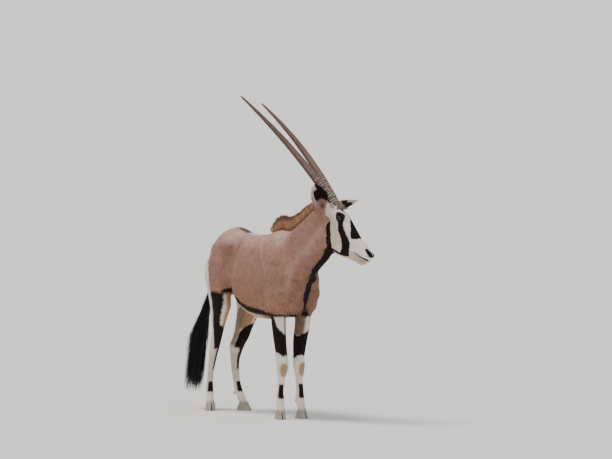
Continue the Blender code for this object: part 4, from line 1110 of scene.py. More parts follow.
def trunk_colours(points):
    """Torso and neck, with painted highlights and painted shade over the coat's own colours."""
    x, y, z = points.T
    wander = ragged(points, 0.004)
    flat = points * np.array([1, 0, 1])
    mirrored = flat + np.abs(points) * np.array([0, 1, 0])
    hollow = np.sqrt(((x + 0.10) / 0.09) ** 2 + ((z - 0.99) / 0.11) ** 2) - 1
    throat = line_distance(points, THROAT_STRIPE)[0]
    on_neck = smooth((x - 0.30) / 0.15)
    neck_light = edge(np.abs(throat - 0.145) - 0.02, 0.03) * on_neck * edge(0.78 - z, 0.10)
    over_ribs = edge(np.abs(x) - 0.14, 0.05) * edge(np.abs(z - 0.87) - 0.09, 0.05)
    ribs = smooth(np.sin(88 * (x + 0.3 * z)) - 0.2) * over_ribs
    shoulder = x - np.interp(z, (0.66, 0.80, 0.95, 1.05, 1.14), (0.376, 0.36, 0.34, 0.25, 0.12))
    above_leg = edge(0.72 - z, 0.05)
    belly_edge = np.interp(x, *np.array(BELLY_EDGE).T)
    rear = np.interp(z, (0.60, 0.72, 0.79, 0.90, 1.02), (-0.315, -0.285, -0.325, -0.355, -0.410))
    croup = np.maximum(np.abs(y) - 0.022, 1.0 - z)
    # A strip along the spine in front of the dark croup, for the painted highlight
    painted_back_highlight = np.maximum(croup, np.abs(x + 0.03) - 0.10)
    dark_croup = np.maximum(croup, np.abs(x + 0.21) - 0.08)
    dock = np.maximum(line_distance(points, TAIL_LINE)[0] - DOCK_REACH, z - 1.005)
    return painted(
        "coat",
        len(points),
        # Painted highlight: the top of the back drawn lighter, as lit from above
        ("back", 0.85 * smooth((z - 1.03) / 0.12) * edge(x - 0.42, 0.06)),
        ("low_flank", 0.8 * smooth((0.86 - z) / 0.10)),
        # Painted shade in the hollow of the flank, in front of the hip
        ("hollow", 0.45 * edge(hollow, 0.5)),
        ("chest", 0.8 * smooth((x - 0.46) / 0.05) * smooth((1.0 - z) / 0.12)),
        # Painted shade on the front of the neck, beside the throat stripe
        ("hollow", 0.55 * edge(throat - 0.075, 0.035) * on_neck),
        # Painted highlight: a light streak down the side of the neck, over its muscle
        ("back", 0.35 * neck_light),
        # Painted shade in lines between the ribs
        ("hollow", 0.22 * ribs),
        # Painted highlight along the back edge of the shoulder, then painted shade just behind it
        ("back", 0.35 * edge(np.abs(shoulder) - 0.006, 0.014) * above_leg),
        ("hollow", 0.35 * edge(np.abs(shoulder + 0.032) - 0.012, 0.02) * above_leg),
        ("cream", edge(z - belly_edge + wander, 0.005)),
        ("black", edge(outline_distance(x, z, FLANK_STRIPE) + wander, 0.005)),
        ("black", edge(line_distance(flat, HAUNCH_BAND)[0] - 0.010 + wander, 0.005)),
        # Painted highlight: the back edge of the buttocks drawn white, as lit from behind
        ("white", 0.95 * edge(x - rear + wander, 0.010) * edge(z - 1.0, 0.03)),
        ("black", edge(line_distance(mirrored, CHEST_BAND)[0] - 0.026 + wander, 0.006)),
        # Painted highlight: a white line along the spine in front of the dark croup
        ("white", 0.6 * edge(painted_back_highlight + wander, 0.006)),
        ("warm_black", 0.8 * edge(dark_croup + wander, 0.005)),
        ("tail", edge(dock + wander, 0.010) * edge(x + 0.525, 0.02)),
    )


LEGS = [(rows, False) for rows in FORELEGS.values()] + [(rows, True) for rows in HINDLEGS.values()]


def leg_shares(points):
    """For each leg, how much of each point belongs to it."""
    x, y, z = points.T
    shares = []
    for rows, hind in LEGS:
        table = np.array(rows)[::-1]
        mine = (y * np.sign(table[0, 1]) > 0) & ((x < 0) == hind)
        if hind:
            top = 0.775 - 1.1 * np.maximum(-x - 0.31, 0) - 0.3 * np.maximum(x + 0.25, 0)
        else:
            top = 0.645 - 0.8 * np.maximum(0.165 - x, 0)
        shares.append(smooth((top - z) / 0.012 + 0.5) * mine)
    return shares


def coat_colours(points):
    """The colour of the coat anywhere on the animal's flesh."""
    colours = trunk_colours(points)
    parts = [
        (share, hindleg_colours if hind else foreleg_colours, (rows,))
        for (rows, hind), share in zip(LEGS, leg_shares(points))
    ]
    parts.append((smooth(head_side(points) / 0.012 + 0.5), head_colours, ()))
    for share, colour_part, more in parts:
        mine = share > 0
        if mine.any():
            part = share[mine][:, None]
            colours[mine] = colours[mine] * (1 - part) + colour_part(points[mine], *more) * part
    away, share = line_distance(points, THROAT_STRIPE)
    half = np.interp(share, (0, 0.2, 0.45, 0.7, 1), (0.032, 0.036, 0.034, 0.024, 0.016))
    return over(colours, "black", edge(away - half + ragged(points, 0.0015), 0.005))


# The charts that unwrap the skin: a middle line, a place on the map and a radius each
NECK_LINE = ((0.42, 0.0, 0.985), (0.574, 0.022, 1.110), (0.700, 0.072, 1.260))
CHARTS = {
    "torso": (((-0.52, 0, 0.95), (-0.20, 0, 0.90), (0.48, 0, 0.87)), (0.02, 0.02), 0.20),
    "neck": (NECK_LINE, (0.50, 0.02), 0.13),
    "head": ((on_head(-0.08, 0, -0.07), on_head(0.45, 0, -0.075)), (0.68, 0.02), 0.075),
    "tail": (TAIL_LINE, (0.50, 0.48), 0.02),
}
for number, (rows, _) in enumerate(LEGS):
    CHARTS["leg_%d" % number] = ([row[:3] for row in rows], (0.02 + 0.11 * number, 0.66), 0.05)
CHART_SCALE = 0.42
HEAD_ZOOM = 1.35


def chart_names(points):
    """Which chart each point lies on, as a number in the order of the charts."""
    names = list(CHARTS)
    neck_normal = Vector((0.78, 0.08, 0.62)).normalized()
    before_neck = (points - np.array((0.500, 0.0, 1.030))) @ np.array(neck_normal)
    which = np.where(before_neck > 0, names.index("neck"), names.index("torso"))
    which = np.where(head_side(points) > 0, names.index("head"), which)
    dock = (line_distance(points, TAIL_LINE)[0] < DOCK_REACH) & (points[:, 0] < -0.52)
    which = np.where(dock, names.index("tail"), which)
    for number, share in enumerate(leg_shares(points)):
        which = np.where(share > 0.5, names.index("leg_%d" % number), which)
    return which


def unrolled(points):
    """Along and around the body, in metres, and the chart, for each point."""
    which = chart_names(points)
    along, around = np.zeros(len(points)), np.zeros(len(points))
    for number, (line, _, radius) in enumerate(CHARTS.values()):
        mine = which == number
        if not mine.any():
            continue
        line = np.array([list(p) for p in line], float)
        way = line[-1] - line[0]
        length = np.linalg.norm(way)
        way /= length
        side = np.array((0, 1.0, 0)) - way[1] * way
        side /= np.linalg.norm(side)
        up = np.cross(way, side)
        here = points[mine]
        s = (here - line[0]) @ way
        places = (line - line[0]) @ way
        middle = np.stack([np.interp(s, places, line[:, i]) for i in range(3)], 1)
        off = here - middle
        along[mine] = s
        around[mine] = radius * (np.arctan2(off @ side, off @ up) + math.pi)
    return along, around, which


def bake_places(points):
    """A place on the unwrapped skin for each point."""
    along, around, which = unrolled(points)
    places = np.zeros((len(points), 2))
    for number, (name, (_, corner, _)) in enumerate(CHARTS.items()):
        mine = which == number
        zoom = CHART_SCALE * (HEAD_ZOOM if name == "head" else 1)
        places[mine, 0] = corner[0] + zoom * np.clip(along[mine] + 0.03, 0, 1.2)
        places[mine, 1] = corner[1] + zoom * around[mine]
    return np.clip(places, 0.002, 0.998)


def vertex_normals(points, faces):
    normals = np.zeros_like(points)
    a, b, c = (points[faces[:, i]] for i in range(3))
    face = np.cross(b - a, c - a)
    for i in range(3):
        np.add.at(normals, faces[:, i], face)
    return normals / np.maximum(np.linalg.norm(normals, axis=1), 1e-12)[:, None]


def triangles_of(faces):
    faces = np.asarray(faces)
    return np.vstack([faces[:, [0, 1, 2]], faces[:, [0, 2, 3]]])


def scatter(points, faces, normals, wanted):
    """Roots spread evenly over a surface: wanted gives how many to a square metre."""
    a, b, c = (points[faces[:, i]] for i in range(3))
    area = np.linalg.norm(np.cross(b - a, c - a), axis=1) / 2
    load = np.cumsum(area * wanted((a + b + c) / 3, (normals[faces].sum(1)) / 3))
    count = int(load[-1])
    order = np.searchsorted(load, (np.arange(count) + RANDOM.random(count)) * load[-1] / count)
    order = np.clip(order, 0, len(faces) - 1)
    u, v = RANDOM.random(count), RANDOM.random(count)
    fold = u + v > 1
    u, v = np.where(fold, 1 - u, u), np.where(fold, 1 - v, v)
    w = 1 - u - v
    picked = faces[order]
    roots = sum(points[picked[:, i]] * k[:, None] for i, k in enumerate((w, u, v)))
    ways = sum(normals[picked[:, i]] * k[:, None] for i, k in enumerate((w, u, v)))
    return roots, ways / np.linalg.norm(ways, axis=1)[:, None]


# The size of each strand's patch on the unwrapped skin
PATCH = 0.003


def strands(name, paths, sides, widths, thick, taper, colours, places):
    """Flat three-sided strands, closed at both ends, along paths of equally many points.

    widths and thick are half sizes for each strand, taper one share for each
    point of a path, colours one for each point, and places one for each strand.
    """
    count, steps = paths.shape[:2]
    ahead = np.gradient(paths, axis=1)
    ahead /= np.maximum(np.linalg.norm(ahead, axis=2), 1e-9)[:, :, None]
    across = sides[:, None, :] - (sides[:, None, :] * ahead).sum(2)[:, :, None] * ahead
    across /= np.maximum(np.linalg.norm(across, axis=2), 1e-9)[:, :, None]
    above = np.cross(across, ahead)
    wide = widths[:, None, None] * taper[None, :, None]
    deep = thick[:, None, None] * taper[None, :, None]
    across, above, middle = across[:, :-1], above[:, :-1], paths[:, :-1]
    left = middle - wide * across - 0.4 * deep * above
    right = middle + wide * across - 0.4 * deep * above
    ridge = middle + deep * above
    rings = np.stack([left, right, ridge], 2).reshape(count, -1, 3)
    points = np.concatenate([rings, paths[:, -1:]], 1)
    per = points.shape[1]
    pattern = [(0, 2, 1)]
    for step in range(steps - 2):
        low = 3 * step
        for i in range(3):
            j = (i + 1) % 3
            pattern += [(low + i, low + j, low + 3 + j), (low + i, low + 3 + j, low + 3 + i)]
    low = 3 * (steps - 2)
    pattern += [(low + i, low + (i + 1) % 3, per - 1) for i in range(3)]
    faces = (np.array(pattern)[None] + per * np.arange(count)[:, None, None]).reshape(-1, 3)
    thing = mesh_object(name, points.reshape(-1, 3), faces)
    tint = np.repeat(colours[:, :-1], 3, axis=1)
    tint = np.concatenate([tint, colours[:, -1:]], 1)
    paint(thing, tint.reshape(-1, 3))
    patch = np.array([(-1, 0), (1, 0), (0, 0)])
    offsets = [patch + (0, 2 * step / (steps - 1) - 1) for step in range(steps - 1)] + [np.array([(0, 1)])]
    offsets = PATCH / 2 * np.vstack(offsets)
    unwrap(thing, (places[:, None] + offsets[None]).reshape(-1, 2))
    return thing


# How finely the skin is sampled, and the part of it that gets the finer grid
BLOCK = 10
COARSE = 0.0082
FINE = 0.0027
SKIN_LOW, SKIN_HIGH = (-0.63, -0.25, 0.030), (0.99, 0.345, 1.43)
FINE_LOW, FINE_HIGH = (0.665, -0.01, 1.000), (0.99, 0.345, 1.43)


def shader(name, roughness, bump=0.0, scale=0.0, sheen=0.0, coat=0.0, shine=0.5):
    """A material whose colour is the painted one, a little uneven, with a fine grain."""
    made = bpy.data.materials.new(name)
    made.use_nodes = True
    nodes, links = made.node_tree.nodes, made.node_tree.links

    def node(kind, **values):
        added = nodes.new("ShaderNode" + kind)
        for socket, value in values.items():
            added.inputs[socket.replace("_", " ").title()].default_value = value
        return added

    surface_shader = nodes["Principled BSDF"]
    surface_shader.inputs["Roughness"].default_value = roughness
    surface_shader.inputs["Sheen Weight"].default_value = sheen
    surface_shader.inputs["Coat Weight"].default_value = coat
    surface_shader.inputs["Specular IOR Level"].default_value = shine
    colour = node("Attribute")
    colour.attribute_name = "colour"
    patches = node("TexNoise", scale=22.0, detail=5.0)
    spread = node("MapRange", from_min=0.3, from_max=0.7, to_min=0.88, to_max=1.12)
    mix = node("VectorMath")
    mix.operation = "SCALE"
    links.new(node("TexCoord").outputs["Object"], patches.inputs["Vector"])
    links.new(patches.outputs["Fac"], spread.inputs["Value"])
    links.new(colour.outputs["Color"], mix.inputs[0])
    links.new(spread.outputs["Result"], mix.inputs["Scale"])
    links.new(mix.outputs["Vector"], surface_shader.inputs["Base Color"])
    if bump:
        lines = node("Attribute")
        lines.attribute_name = "grain"
        fine = node("TexNoise", scale=scale, detail=3.0)
        relief = node("Bump", strength=bump, distance=0.002)
        links.new(lines.outputs["Vector"], fine.inputs["Vector"])
        links.new(fine.outputs["Fac"], relief.inputs["Height"])
        links.new(relief.outputs["Normal"], surface_shader.inputs["Normal"])
    return made


def grain(thing, values):
    """Coordinates that a material's fine grain follows, one for each corner point."""
    layer = thing.data.attributes.new("grain", "FLOAT_VECTOR", "POINT")
    layer.data.foreach_set("vector", np.asarray(values, np.float32).ravel())


def make_skin(flesh):
    """One skin over head, neck, body, legs and the dock of the tail."""
    lines = [
        spaced(SKIN_LOW[i], FINE_LOW[i], FINE_HIGH[i], SKIN_HIGH[i], COARSE, FINE) for i in range(3)
    ]
    points, quads = surface(sample(flesh, lines), lines)
    skin = mesh_object("skin", points, quads)
    paint(skin, coat_colours(points) * SKIN_SHADE)
    unwrap(skin, bake_places(points))
    along, around, which = unrolled(points)
    grain(skin, np.stack([along * 0.16, around, which * 3.7], 1))
    ends, sides, parts = ("fore", "hind"), ("left", "right"), ("upper", "lower")
    legs = [f"{end}leg_{side}_{part}" for end in ends for side in sides for part in parts]
    material = shader("hide", 0.85, bump=0.55, scale=620.0, shine=0.15)
    dress(skin, material, "coat", "head", "neck", "torso", "tail", *legs)
    return points, triangles_of(quads)


# The skin is painted a little darker than the coat over it
SKIN_SHADE = 0.92
# The coat's plain tuft: its length, its half-width to that, and how many stand on a square metre
TUFT_LENGTH = 0.0135
TUFT_WIDTH = 0.125
TUFT_DENSITY = 0.295e5 * 1
TUFTS_TO_PIECE = 19000


def hair_lie(points, normals):
    """The way the coat lies: back along the trunk, down the legs, up the face."""
    x, _, z = points.T
    ways = np.tile((-0.90, 0.0, -0.30), (len(points), 1))
    thigh = smooth((-0.16 - x) / 0.10) * smooth((1.03 - z) / 0.12)
    chest = smooth((x - 0.36) / 0.10) * smooth((1.02 - z) / 0.15)
    shoulder = smooth((x - 0.20) / 0.10) * smooth((1.00 - z) / 0.20)
    for share, way in ((thigh, (0.45, 0, -0.75)), (chest, (0.55, 0, -0.80)), (shoulder, (0.25, 0, -0.60))):
        ways += share[:, None] * np.array(way)
    which = chart_names(points)
    names = list(CHARTS)
    ways[which == names.index("neck")] = (-0.70, -0.10, -0.75)
    ways[which == names.index("tail")] = (-0.10, -0.05, -1.0)
    for number in range(len(LEGS)):
        ways[which == names.index("leg_%d" % number)] = (-0.10, 0.0, -1.0)
    ways[which == names.index("head")] = -np.array(HEAD[0]) - 0.35 * np.array(HEAD[2])
    ways -= (ways * normals).sum(1)[:, None] * normals
    return ways / np.maximum(np.linalg.norm(ways, axis=1), 1e-6)[:, None]


def hair_size(points, normals):
    """Length of the coat: short on face and feet, longer below and behind."""
    x, _, z = points.T
    size = np.full(len(points), TUFT_LENGTH)
    under = smooth(-normals[:, 2] * 1.6 - 0.4) * (z > 0.58)
    size += 0.006 * under
    rear = smooth((-0.30 - x) / 0.10) * smooth(-normals[:, 0] * 1.4) * smooth((1.0 - z) / 0.10)
    size += 0.005 * rear
    size += 0.010 * edge(line_distance(points, THROAT_STRIPE)[0] - 0.035, 0.02)
    for share in leg_shares(points):
        short = 0.0060 + 0.0050 * smooth((z - 0.30) / 0.30)
        size = size * (1 - share) + short * share
    face = 0.0085 - 0.0045 * smooth(head_places(points)[:, 0] / 0.16)
    ahead = smooth(head_side(points) / 0.06 + 0.5)
    return size * (1 - ahead) + face * ahead


def coat_density(points, normals):
    """Tufts to a square metre, closer where they are shorter."""
    size = hair_size(points, normals)
    f, l, u = head_places(points).T
    eye = np.hypot((f - EYE_CENTRE.x) / EYE_STRETCH, u - EYE_CENTRE.z) < 0.0185
    bare = eye & (np.abs(l) > 0.035) & (head_side(points) > 0)
    wet = (line_distance(np.stack([f, 0 * l, u], 1), NOSTRIL)[0] < 0.009) & (np.abs(l) > 0.015)
    wanted = TUFT_DENSITY * (TUFT_LENGTH / size) ** 1.25
    return np.where(bare | wet | (points[:, 2] < 0.050), 0, wanted)


def tuft_paths(roots, ways, lie, size, lift, droop, sink):
    """Three points along each tuft, from just under the skin to its tip."""
    steps = np.array((0.0, 0.5, 1.0))
    rise = size[:, None] * (lift * steps - droop * steps**2) - sink
    reach = size[:, None, None] * (steps[None, :, None] * lie[:, None, :])
    return roots[:, None, :] + reach + rise[:, :, None] * ways[:, None, :]


def make_coat(points, faces, normals):
    """Short tufts all over the skin, in pieces chart by chart, each from its front backward."""
    roots, ways = scatter(points, faces, normals, coat_density)
    order = np.argsort(chart_names(roots) * 10 - roots[:, 0])
    roots, ways = roots[order], ways[order]
    count = len(roots)
    size = hair_size(roots, ways) * RANDOM.uniform(0.78, 1.22, count)
    lie = hair_lie(roots, ways)
    turn = RANDOM.normal(0, 0.16, count)[:, None]
    lie = lie * np.cos(turn) + np.cross(ways, lie) * np.sin(turn)
    side = np.cross(ways, lie)
    lift = RANDOM.uniform(0.13, 0.26, count)[:, None]
    paths = tuft_paths(roots, ways, lie, size, lift, 0.12, 0.0012)
    jitter = RANDOM.normal(0, 1, roots.shape) * 0.12 * size[:, None]
    colours = coat_colours(roots + jitter) * RANDOM.uniform(0.86, 1.12, count)[:, None]
    colours = colours[:, None, :] * np.array((0.80, 1.0, 1.06))[None, :, None]
    places = bake_places(roots)
    widths = size * TUFT_WIDTH * RANDOM.uniform(0.8, 1.2, count)
    material = shader("coat_hair", 0.75, sheen=0.02, shine=0.15)
    for number, start in enumerate(range(0, count, TUFTS_TO_PIECE)):
        part = slice(start, start + TUFTS_TO_PIECE)
        piece = strands(
            "coat_%02d" % number, paths[part], side[part], widths[part], widths[part] * 0.45,
            np.array((0.85, 1.0)), colours[part], places[part],
        )
        dress(piece, material, "coat")


def mane_row(line, share):
    """Place, way and height of the crest at shares of its length."""
    spots = np.array([[*point, *way, height] for point, way, height in line])
    at = share * (len(spots) - 1)
    return np.stack([np.interp(at, range(len(spots)), spots[:, i]) for i in range(7)], 1)


def make_mane(flesh):
    """Upright hair from the poll to behind the withers."""
    line = mane_line(flesh, 42)
    count = MANE_STRANDS
    share = (np.arange(count) + RANDOM.random(count)) / count
    row = mane_row(line, share)
    after, before = (mane_row(line, np.clip(share + step, 0, 1))[:, :3] for step in (0.02, -0.02))
    ahead = after - before
    ahead /= np.linalg.norm(ahead, axis=1)[:, None]
    way = row[:, 3:6] / np.linalg.norm(row[:, 3:6], axis=1)[:, None]
    across = np.cross(ahead, way)
    across /= np.linalg.norm(across, axis=1)[:, None]
    lean = RANDOM.uniform(-1, 1, count)
    clump = np.sin(share * 61) * 0.5 + np.sin(share * 27 + 1) * 0.5
    height = row[:, 6] * (0.96 + 0.03 * clump + RANDOM.uniform(-0.07, 0.03, count))
    bend = 0.24 + 0.07 * np.sin(share * 60) + RANDOM.normal(0, 0.04, count)
    steps = np.array((0.0, 0.3, 0.6, 0.85, 1.0))
    rise = (height[:, None] + 0.010) * steps[None]
    paths = (
        row[:, None, :3]
        + (rise - 0.010)[:, :, None] * way[:, None, :]
        + (bend[:, None] * steps * rise)[:, :, None] * ahead[:, None, :]
        + (lean[:, None] * (0.016 + 0.07 * rise))[:, :, None] * across[:, None, :]
    )
    tone = RANDOM.uniform(0.78, 1.18, count)[:, None, None]
    tip = smooth((steps[None] - 0.62) / 0.35) * smooth((row[:, 6:7] - 0.045) / 0.02) * 0.85
    tip = tip + 0.25 * smooth((steps[None] - 0.7) / 0.3)
    tip = np.clip(tip, 0, 1)[:, :, None]
    colours = (PAINT["mane"] * (1 - tip) + PAINT["mane_tip"] * tip) * tone
    colours = colours * np.array((0.75, 0.95, 1.1, 1.1, 1.0))[None, :, None]
    widths = RANDOM.uniform(0.0011, 0.0019, count)
    piece = strands(
        "mane_hair", paths, ahead, widths, widths * 0.5, np.array((1.0, 1.0, 0.85, 0.6)), colours,
        bake_places(paths[:, 0]),
    )
    dress(piece, shader("mane_hair", 0.65, sheen=0.02, shine=0.2), "mane", "mane")


def make_switch():
    """The long black hair of the tail, blown a little to the animal's right."""
    path = np.array(curve_through(TAIL_LINE, 3))
    cut = path[-3]
    way = path[-2] - path[-4]
    way /= np.linalg.norm(way)
    count = TAIL_STRANDS
    share = RANDOM.random(count)
    angle = RANDOM.uniform(0, 2 * math.pi, count)
    length = 0.32 + 0.24 * share * RANDOM.uniform(0.80, 1.0, count)
    out = (0.003 + 0.011 * (1 - share)) * np.sqrt(RANDOM.random(count))
    spread = np.stack([np.cos(angle), np.sin(angle), 0 * angle], 1)
    start = cut + way * (-0.06 + 0.135 * share)[:, None]
    lock_angle = 2.4 * RANDOM.integers(0, 7, count)
    lock = np.stack([np.cos(lock_angle), np.sin(lock_angle), 0 * angle], 1)
    drift = np.stack([np.full(count, -0.09), -0.10 + 0.05 * share, 0 * share], 1)
    steps = np.linspace(0, 1, 9)
    fall = np.array((0, 0, -1.0)) + drift * 2.2
    paths = start[:, None] + fall[:, None] * (length[:, None] * steps)[:, :, None]
    fan = 0.062 * steps**1.4
    paths = paths + lock[:, None] * fan[None, :, None] * RANDOM.uniform(0.55, 1.0, count)[:, None, None]
    paths = paths + spread[:, None] * (out[:, None] + 0.012 * steps[None])[:, :, None]
    wave = RANDOM.normal(0, 0.0035, (count, 2))
    paths[:, :, :2] += np.sin(steps * 7)[None, :, None] * wave[:, None]
    colours = np.tile(PAINT["tail"], (count, 9, 1)) * RANDOM.uniform(0.7, 1.6, count)[:, None, None]
    side = np.stack([-np.sin(angle), np.cos(angle), 0 * angle], 1)
    widths = RANDOM.uniform(0.0009, 0.0016, count)
    taper = np.array((0.8, 1, 1, 1, 0.95, 0.85, 0.7, 0.5))
    piece = strands("tail_hair", paths, side, widths, widths * 0.5, taper, colours, bake_places(start))
    dress(piece, shader("tail_hair", 0.50, shine=0.3), "tail", "tail_tuft")


# The share of a horn's length below its first ring
RINGS_START = 0.012


def ring_shape(share):
    """How far the horn swells at a share of its length, and how deep between two rings it is, which sets
    the painted shade there.
    """
    place = np.clip((share - RINGS_START) / HORN_RINGED, 0, 1) ** (1 / 1.08) * HORN_RINGS
    phase = place - np.floor(place)
    fade = np.clip((HORN_RINGS - place) / 4, 0, 1) * (share > RINGS_START)
    ridge = smooth(phase / 0.62) * smooth((1 - phase) / 0.30)
    uneven = 0.85 + 0.30 * np.sin(2.4 * np.floor(place))
    return 0.105 * uneven * fade * (1 - 0.45 * place / HORN_RINGS) * (ridge - 0.35), fade * (1 - ridge)


def horn_colours(share, angle, swell, horn_shade):
    """Painted highlights on the ridges and painted shade between the rings near the base, smooth tan
    farther up, painted shade underneath.
    """
    along = smooth((share - 0.30) / 0.30)
    tone = PAINT["ring"] * (1 - along) + PAINT["horn_tip"] * along
    tone = np.tile(tone, (len(angle), 1))
    below = smooth((np.sin(angle) + 0.05) / 0.5)
    # Painted shade along the horn's underside
    tone = over(tone, "horn_shade", 0.75 * below)
    light = smooth((swell - 0.03) / 0.03) * np.clip((0.34 - share) / 0.20, 0, 1)
    # Painted highlight on the ridges of the rings, on the upper side only
    tone = over(tone, "painted_ring_highlight", 0.7 * light * (1 - below))
    depth = np.interp(share, (0, 0.12, 0.30, 0.45), (1.0, 0.85, 0.35, 0))
    # Painted shade between the rings near the base
    return over(tone, "horn_shade", 0.9 * horn_shade * depth)


def tube(name, rows, colours, lines):
    """A closed tube through rings of equally many points, painted and grained."""
    count = len(rows[0])
    i = np.arange(len(rows) - 1)[:, None] * count
    j, k = np.arange(count)[None], (np.arange(count) + 1) % count
    quads = np.stack([i + j, i + k, i + count + k, i + count + j], 2).reshape(-1, 4)
    thing = mesh_object(name, np.vstack(rows), quads)
    close_ends(thing)
    paint(thing, np.vstack(colours))
    grain(thing, np.vstack(lines))
    return thing


def make_horns():
    """Long ringed horns, smooth and tan towards their tips."""
    material = shader("horn", 0.50, bump=0.35, scale=90.0, shine=0.35)
    corners = 44
    for side, name in ((1, "horn_left"), (-1, "horn_right")):
        shares = np.concatenate(
            [
                np.linspace(-0.045, 0.52, 420),
                np.linspace(0.52, 0.985, 60)[1:],
                np.array((0.99, 0.995, 0.998, 1.0)),
            ]
        )
        path = [horn_line(side, float(share)) for share in shares]
        angle = 2 * math.pi * np.arange(corners) / corners
        points, colours, lines = [], [], []
        for share, frame_here in zip(shares, frames_along(path, HEAD[1])):
            uneven = share + 0.0016 * np.sin(angle + 1.0) + 0.0008 * np.sin(3 * angle + 60 * share)
            swell, horn_shade = ring_shape(uneven)
            radius = horn_radius(max(share, 0))
            if share > 0.97:
                radius *= math.sqrt(max(1 - ((share - 0.97) / 0.031) ** 2, 0.003))
            radius = radius * (1 + swell + 0.012 * np.sin(5 * angle + 3 * side))
            point, _, across, under = (np.array(v) for v in frame_here)
            row = point + 0.94 * (radius * np.cos(angle))[:, None] * across
            points.append(row + 1.06 * (radius * np.sin(angle))[:, None] * under)
            colours.append(horn_colours(share, angle, swell, horn_shade))
            lines.append(np.stack([np.full(corners, share * 1.2), np.cos(angle), np.sin(angle)], 1))
        dress(tube(name + "_ringed", points, colours, lines), material, "horn", name)


def close_ends(thing):
    """Fill the open rims of a tube and turn its faces outwards."""
    shape = bmesh.new()
    shape.from_mesh(thing.data)
    rim = [e for e in shape.edges if e.is_boundary]
    bmesh.ops.holes_fill(shape, edges=rim, sides=0)
    bmesh.ops.recalc_face_normals(shape, faces=shape.faces)
    shape.to_mesh(thing.data)
    shape.free()


def ear_shell(side, rows, columns):
    """Outer and inner points of an ear, with shares along it and round its cup."""
    way, opening = (to_world(v) for v in EAR_WAYS[side])
    way.normalize()
    opening = (opening - opening.dot(way) * way).normalized()
    across = way.cross(opening)
    root = on_head(EAR_ROOT.x, side * EAR_ROOT.y, EAR_ROOT.z)
    outer, inner, shares = [], [], []
    for i in range(rows + 1):
        share = i / rows
        wide, angle = ear_section(share)
        radius = wide / math.sin(min(angle, math.pi / 2))
        curl = root + (share * EAR_LENGTH) * way + 0.018 * math.sin(math.pi * share) * opening
        for j in range(columns):
            turn = 2 * j / (columns - 1) - 1
            thick = EAR_THICKNESS * (1 - 0.45 * share) * (0.35 + 0.65 * (1 - abs(turn) ** 3))
            spoke = math.sin(turn * angle) * across - math.cos(turn * angle) * opening
            fold = 0.0012 * math.sin(9 * turn) * math.sin(math.pi * share)
            middle = curl + radius * math.cos(angle) * 0.35 * opening
            outer.append(middle + radius * spoke)
            inner.append(middle + (radius - thick + fold) * spoke)
            shares.append((share, turn))
    return np.array(outer), np.array(inner), np.array(shares), np.array(way)


def make_ears():
    """Cupped ears with a short coat on both faces."""
    hide = shader("ear_hide", 0.80, bump=0.3, scale=300.0, shine=0.15)
    hair = shader("ear_hair", 0.75, shine=0.15)
    rows, columns = 34, 29
    for side, name in ((1, "ear_left"), (-1, "ear_right")):
        outer, inner, shares, way = ear_shell(side, rows, columns)
        points = np.vstack([outer, inner])
        total = len(outer)
        i = np.arange(rows)[:, None] * columns + np.arange(columns - 1)[None]
        a = i.ravel()
        b = a + columns
        faces = [np.stack([a, a + 1, b + 1, b], 1), total + np.stack([a, b, b + 1, a + 1], 1)]
        for rim in (0, columns - 1):
            e = np.arange(rows) * columns + rim
            faces.append(np.stack([e, e + columns, total + e + columns, total + e], 1))
        for end in (0, rows * columns):
            e = end + np.arange(columns - 1)
            faces.append(np.stack([e, e + 1, total + e + 1, total + e], 1))
        thing = mesh_object(name + "_cup", points, np.vstack(faces))
        close_ends(thing)
        both = np.vstack([shares, shares])
        inside = np.arange(len(points)) >= total
        paint(thing, ear_colours(side, both, inside))
        grain(thing, points)
        dress(thing, hide, "face", name)
        ear_hair(name, side, points, np.vstack(faces[:2]), both, inside, way, hair)


def ear_colours(side, shares, inside):
    """Pale backs, black outer rims and dark hollows with a pale band inside the rim."""
    along, turn = shares.T
    near = turn if side < 0 else -turn
    colours = np.tile(PAINT["cheek"], (len(along), 1))
    if side > 0:
        colours = over(colours, "temple", 0.7 * edge(along - 0.48, 0.06))
        colours = over(colours, "black", edge(np.abs(along - 0.62) - 0.12, 0.04))
        return over(colours, "ear_inside", inside * edge(0.50 - along, 0.06) * edge(along - 0.78, 0.05))
    colours = over(colours, "coat", 0.6 * edge(0.45 - along, 0.1))
    rim = np.maximum(smooth((np.abs(turn) - 0.80) / 0.12), smooth((along - 0.93) / 0.05))
    colours = over(colours, "black", 0.95 * rim * ~inside)
    hollow = np.where(inside[:, None], PAINT["ear_inside"], colours)
    at_tip = edge(0.80 - along, 0.03) * edge(near - 0.2, 0.1)
    band = np.maximum(edge(np.abs(near + 0.72) - 0.26, 0.06), at_tip)
    hollow = over(hollow, "white", 0.85 * band * inside)
    return over(hollow, "ear_pink", 0.8 * inside * edge(along - 0.30, 0.06))


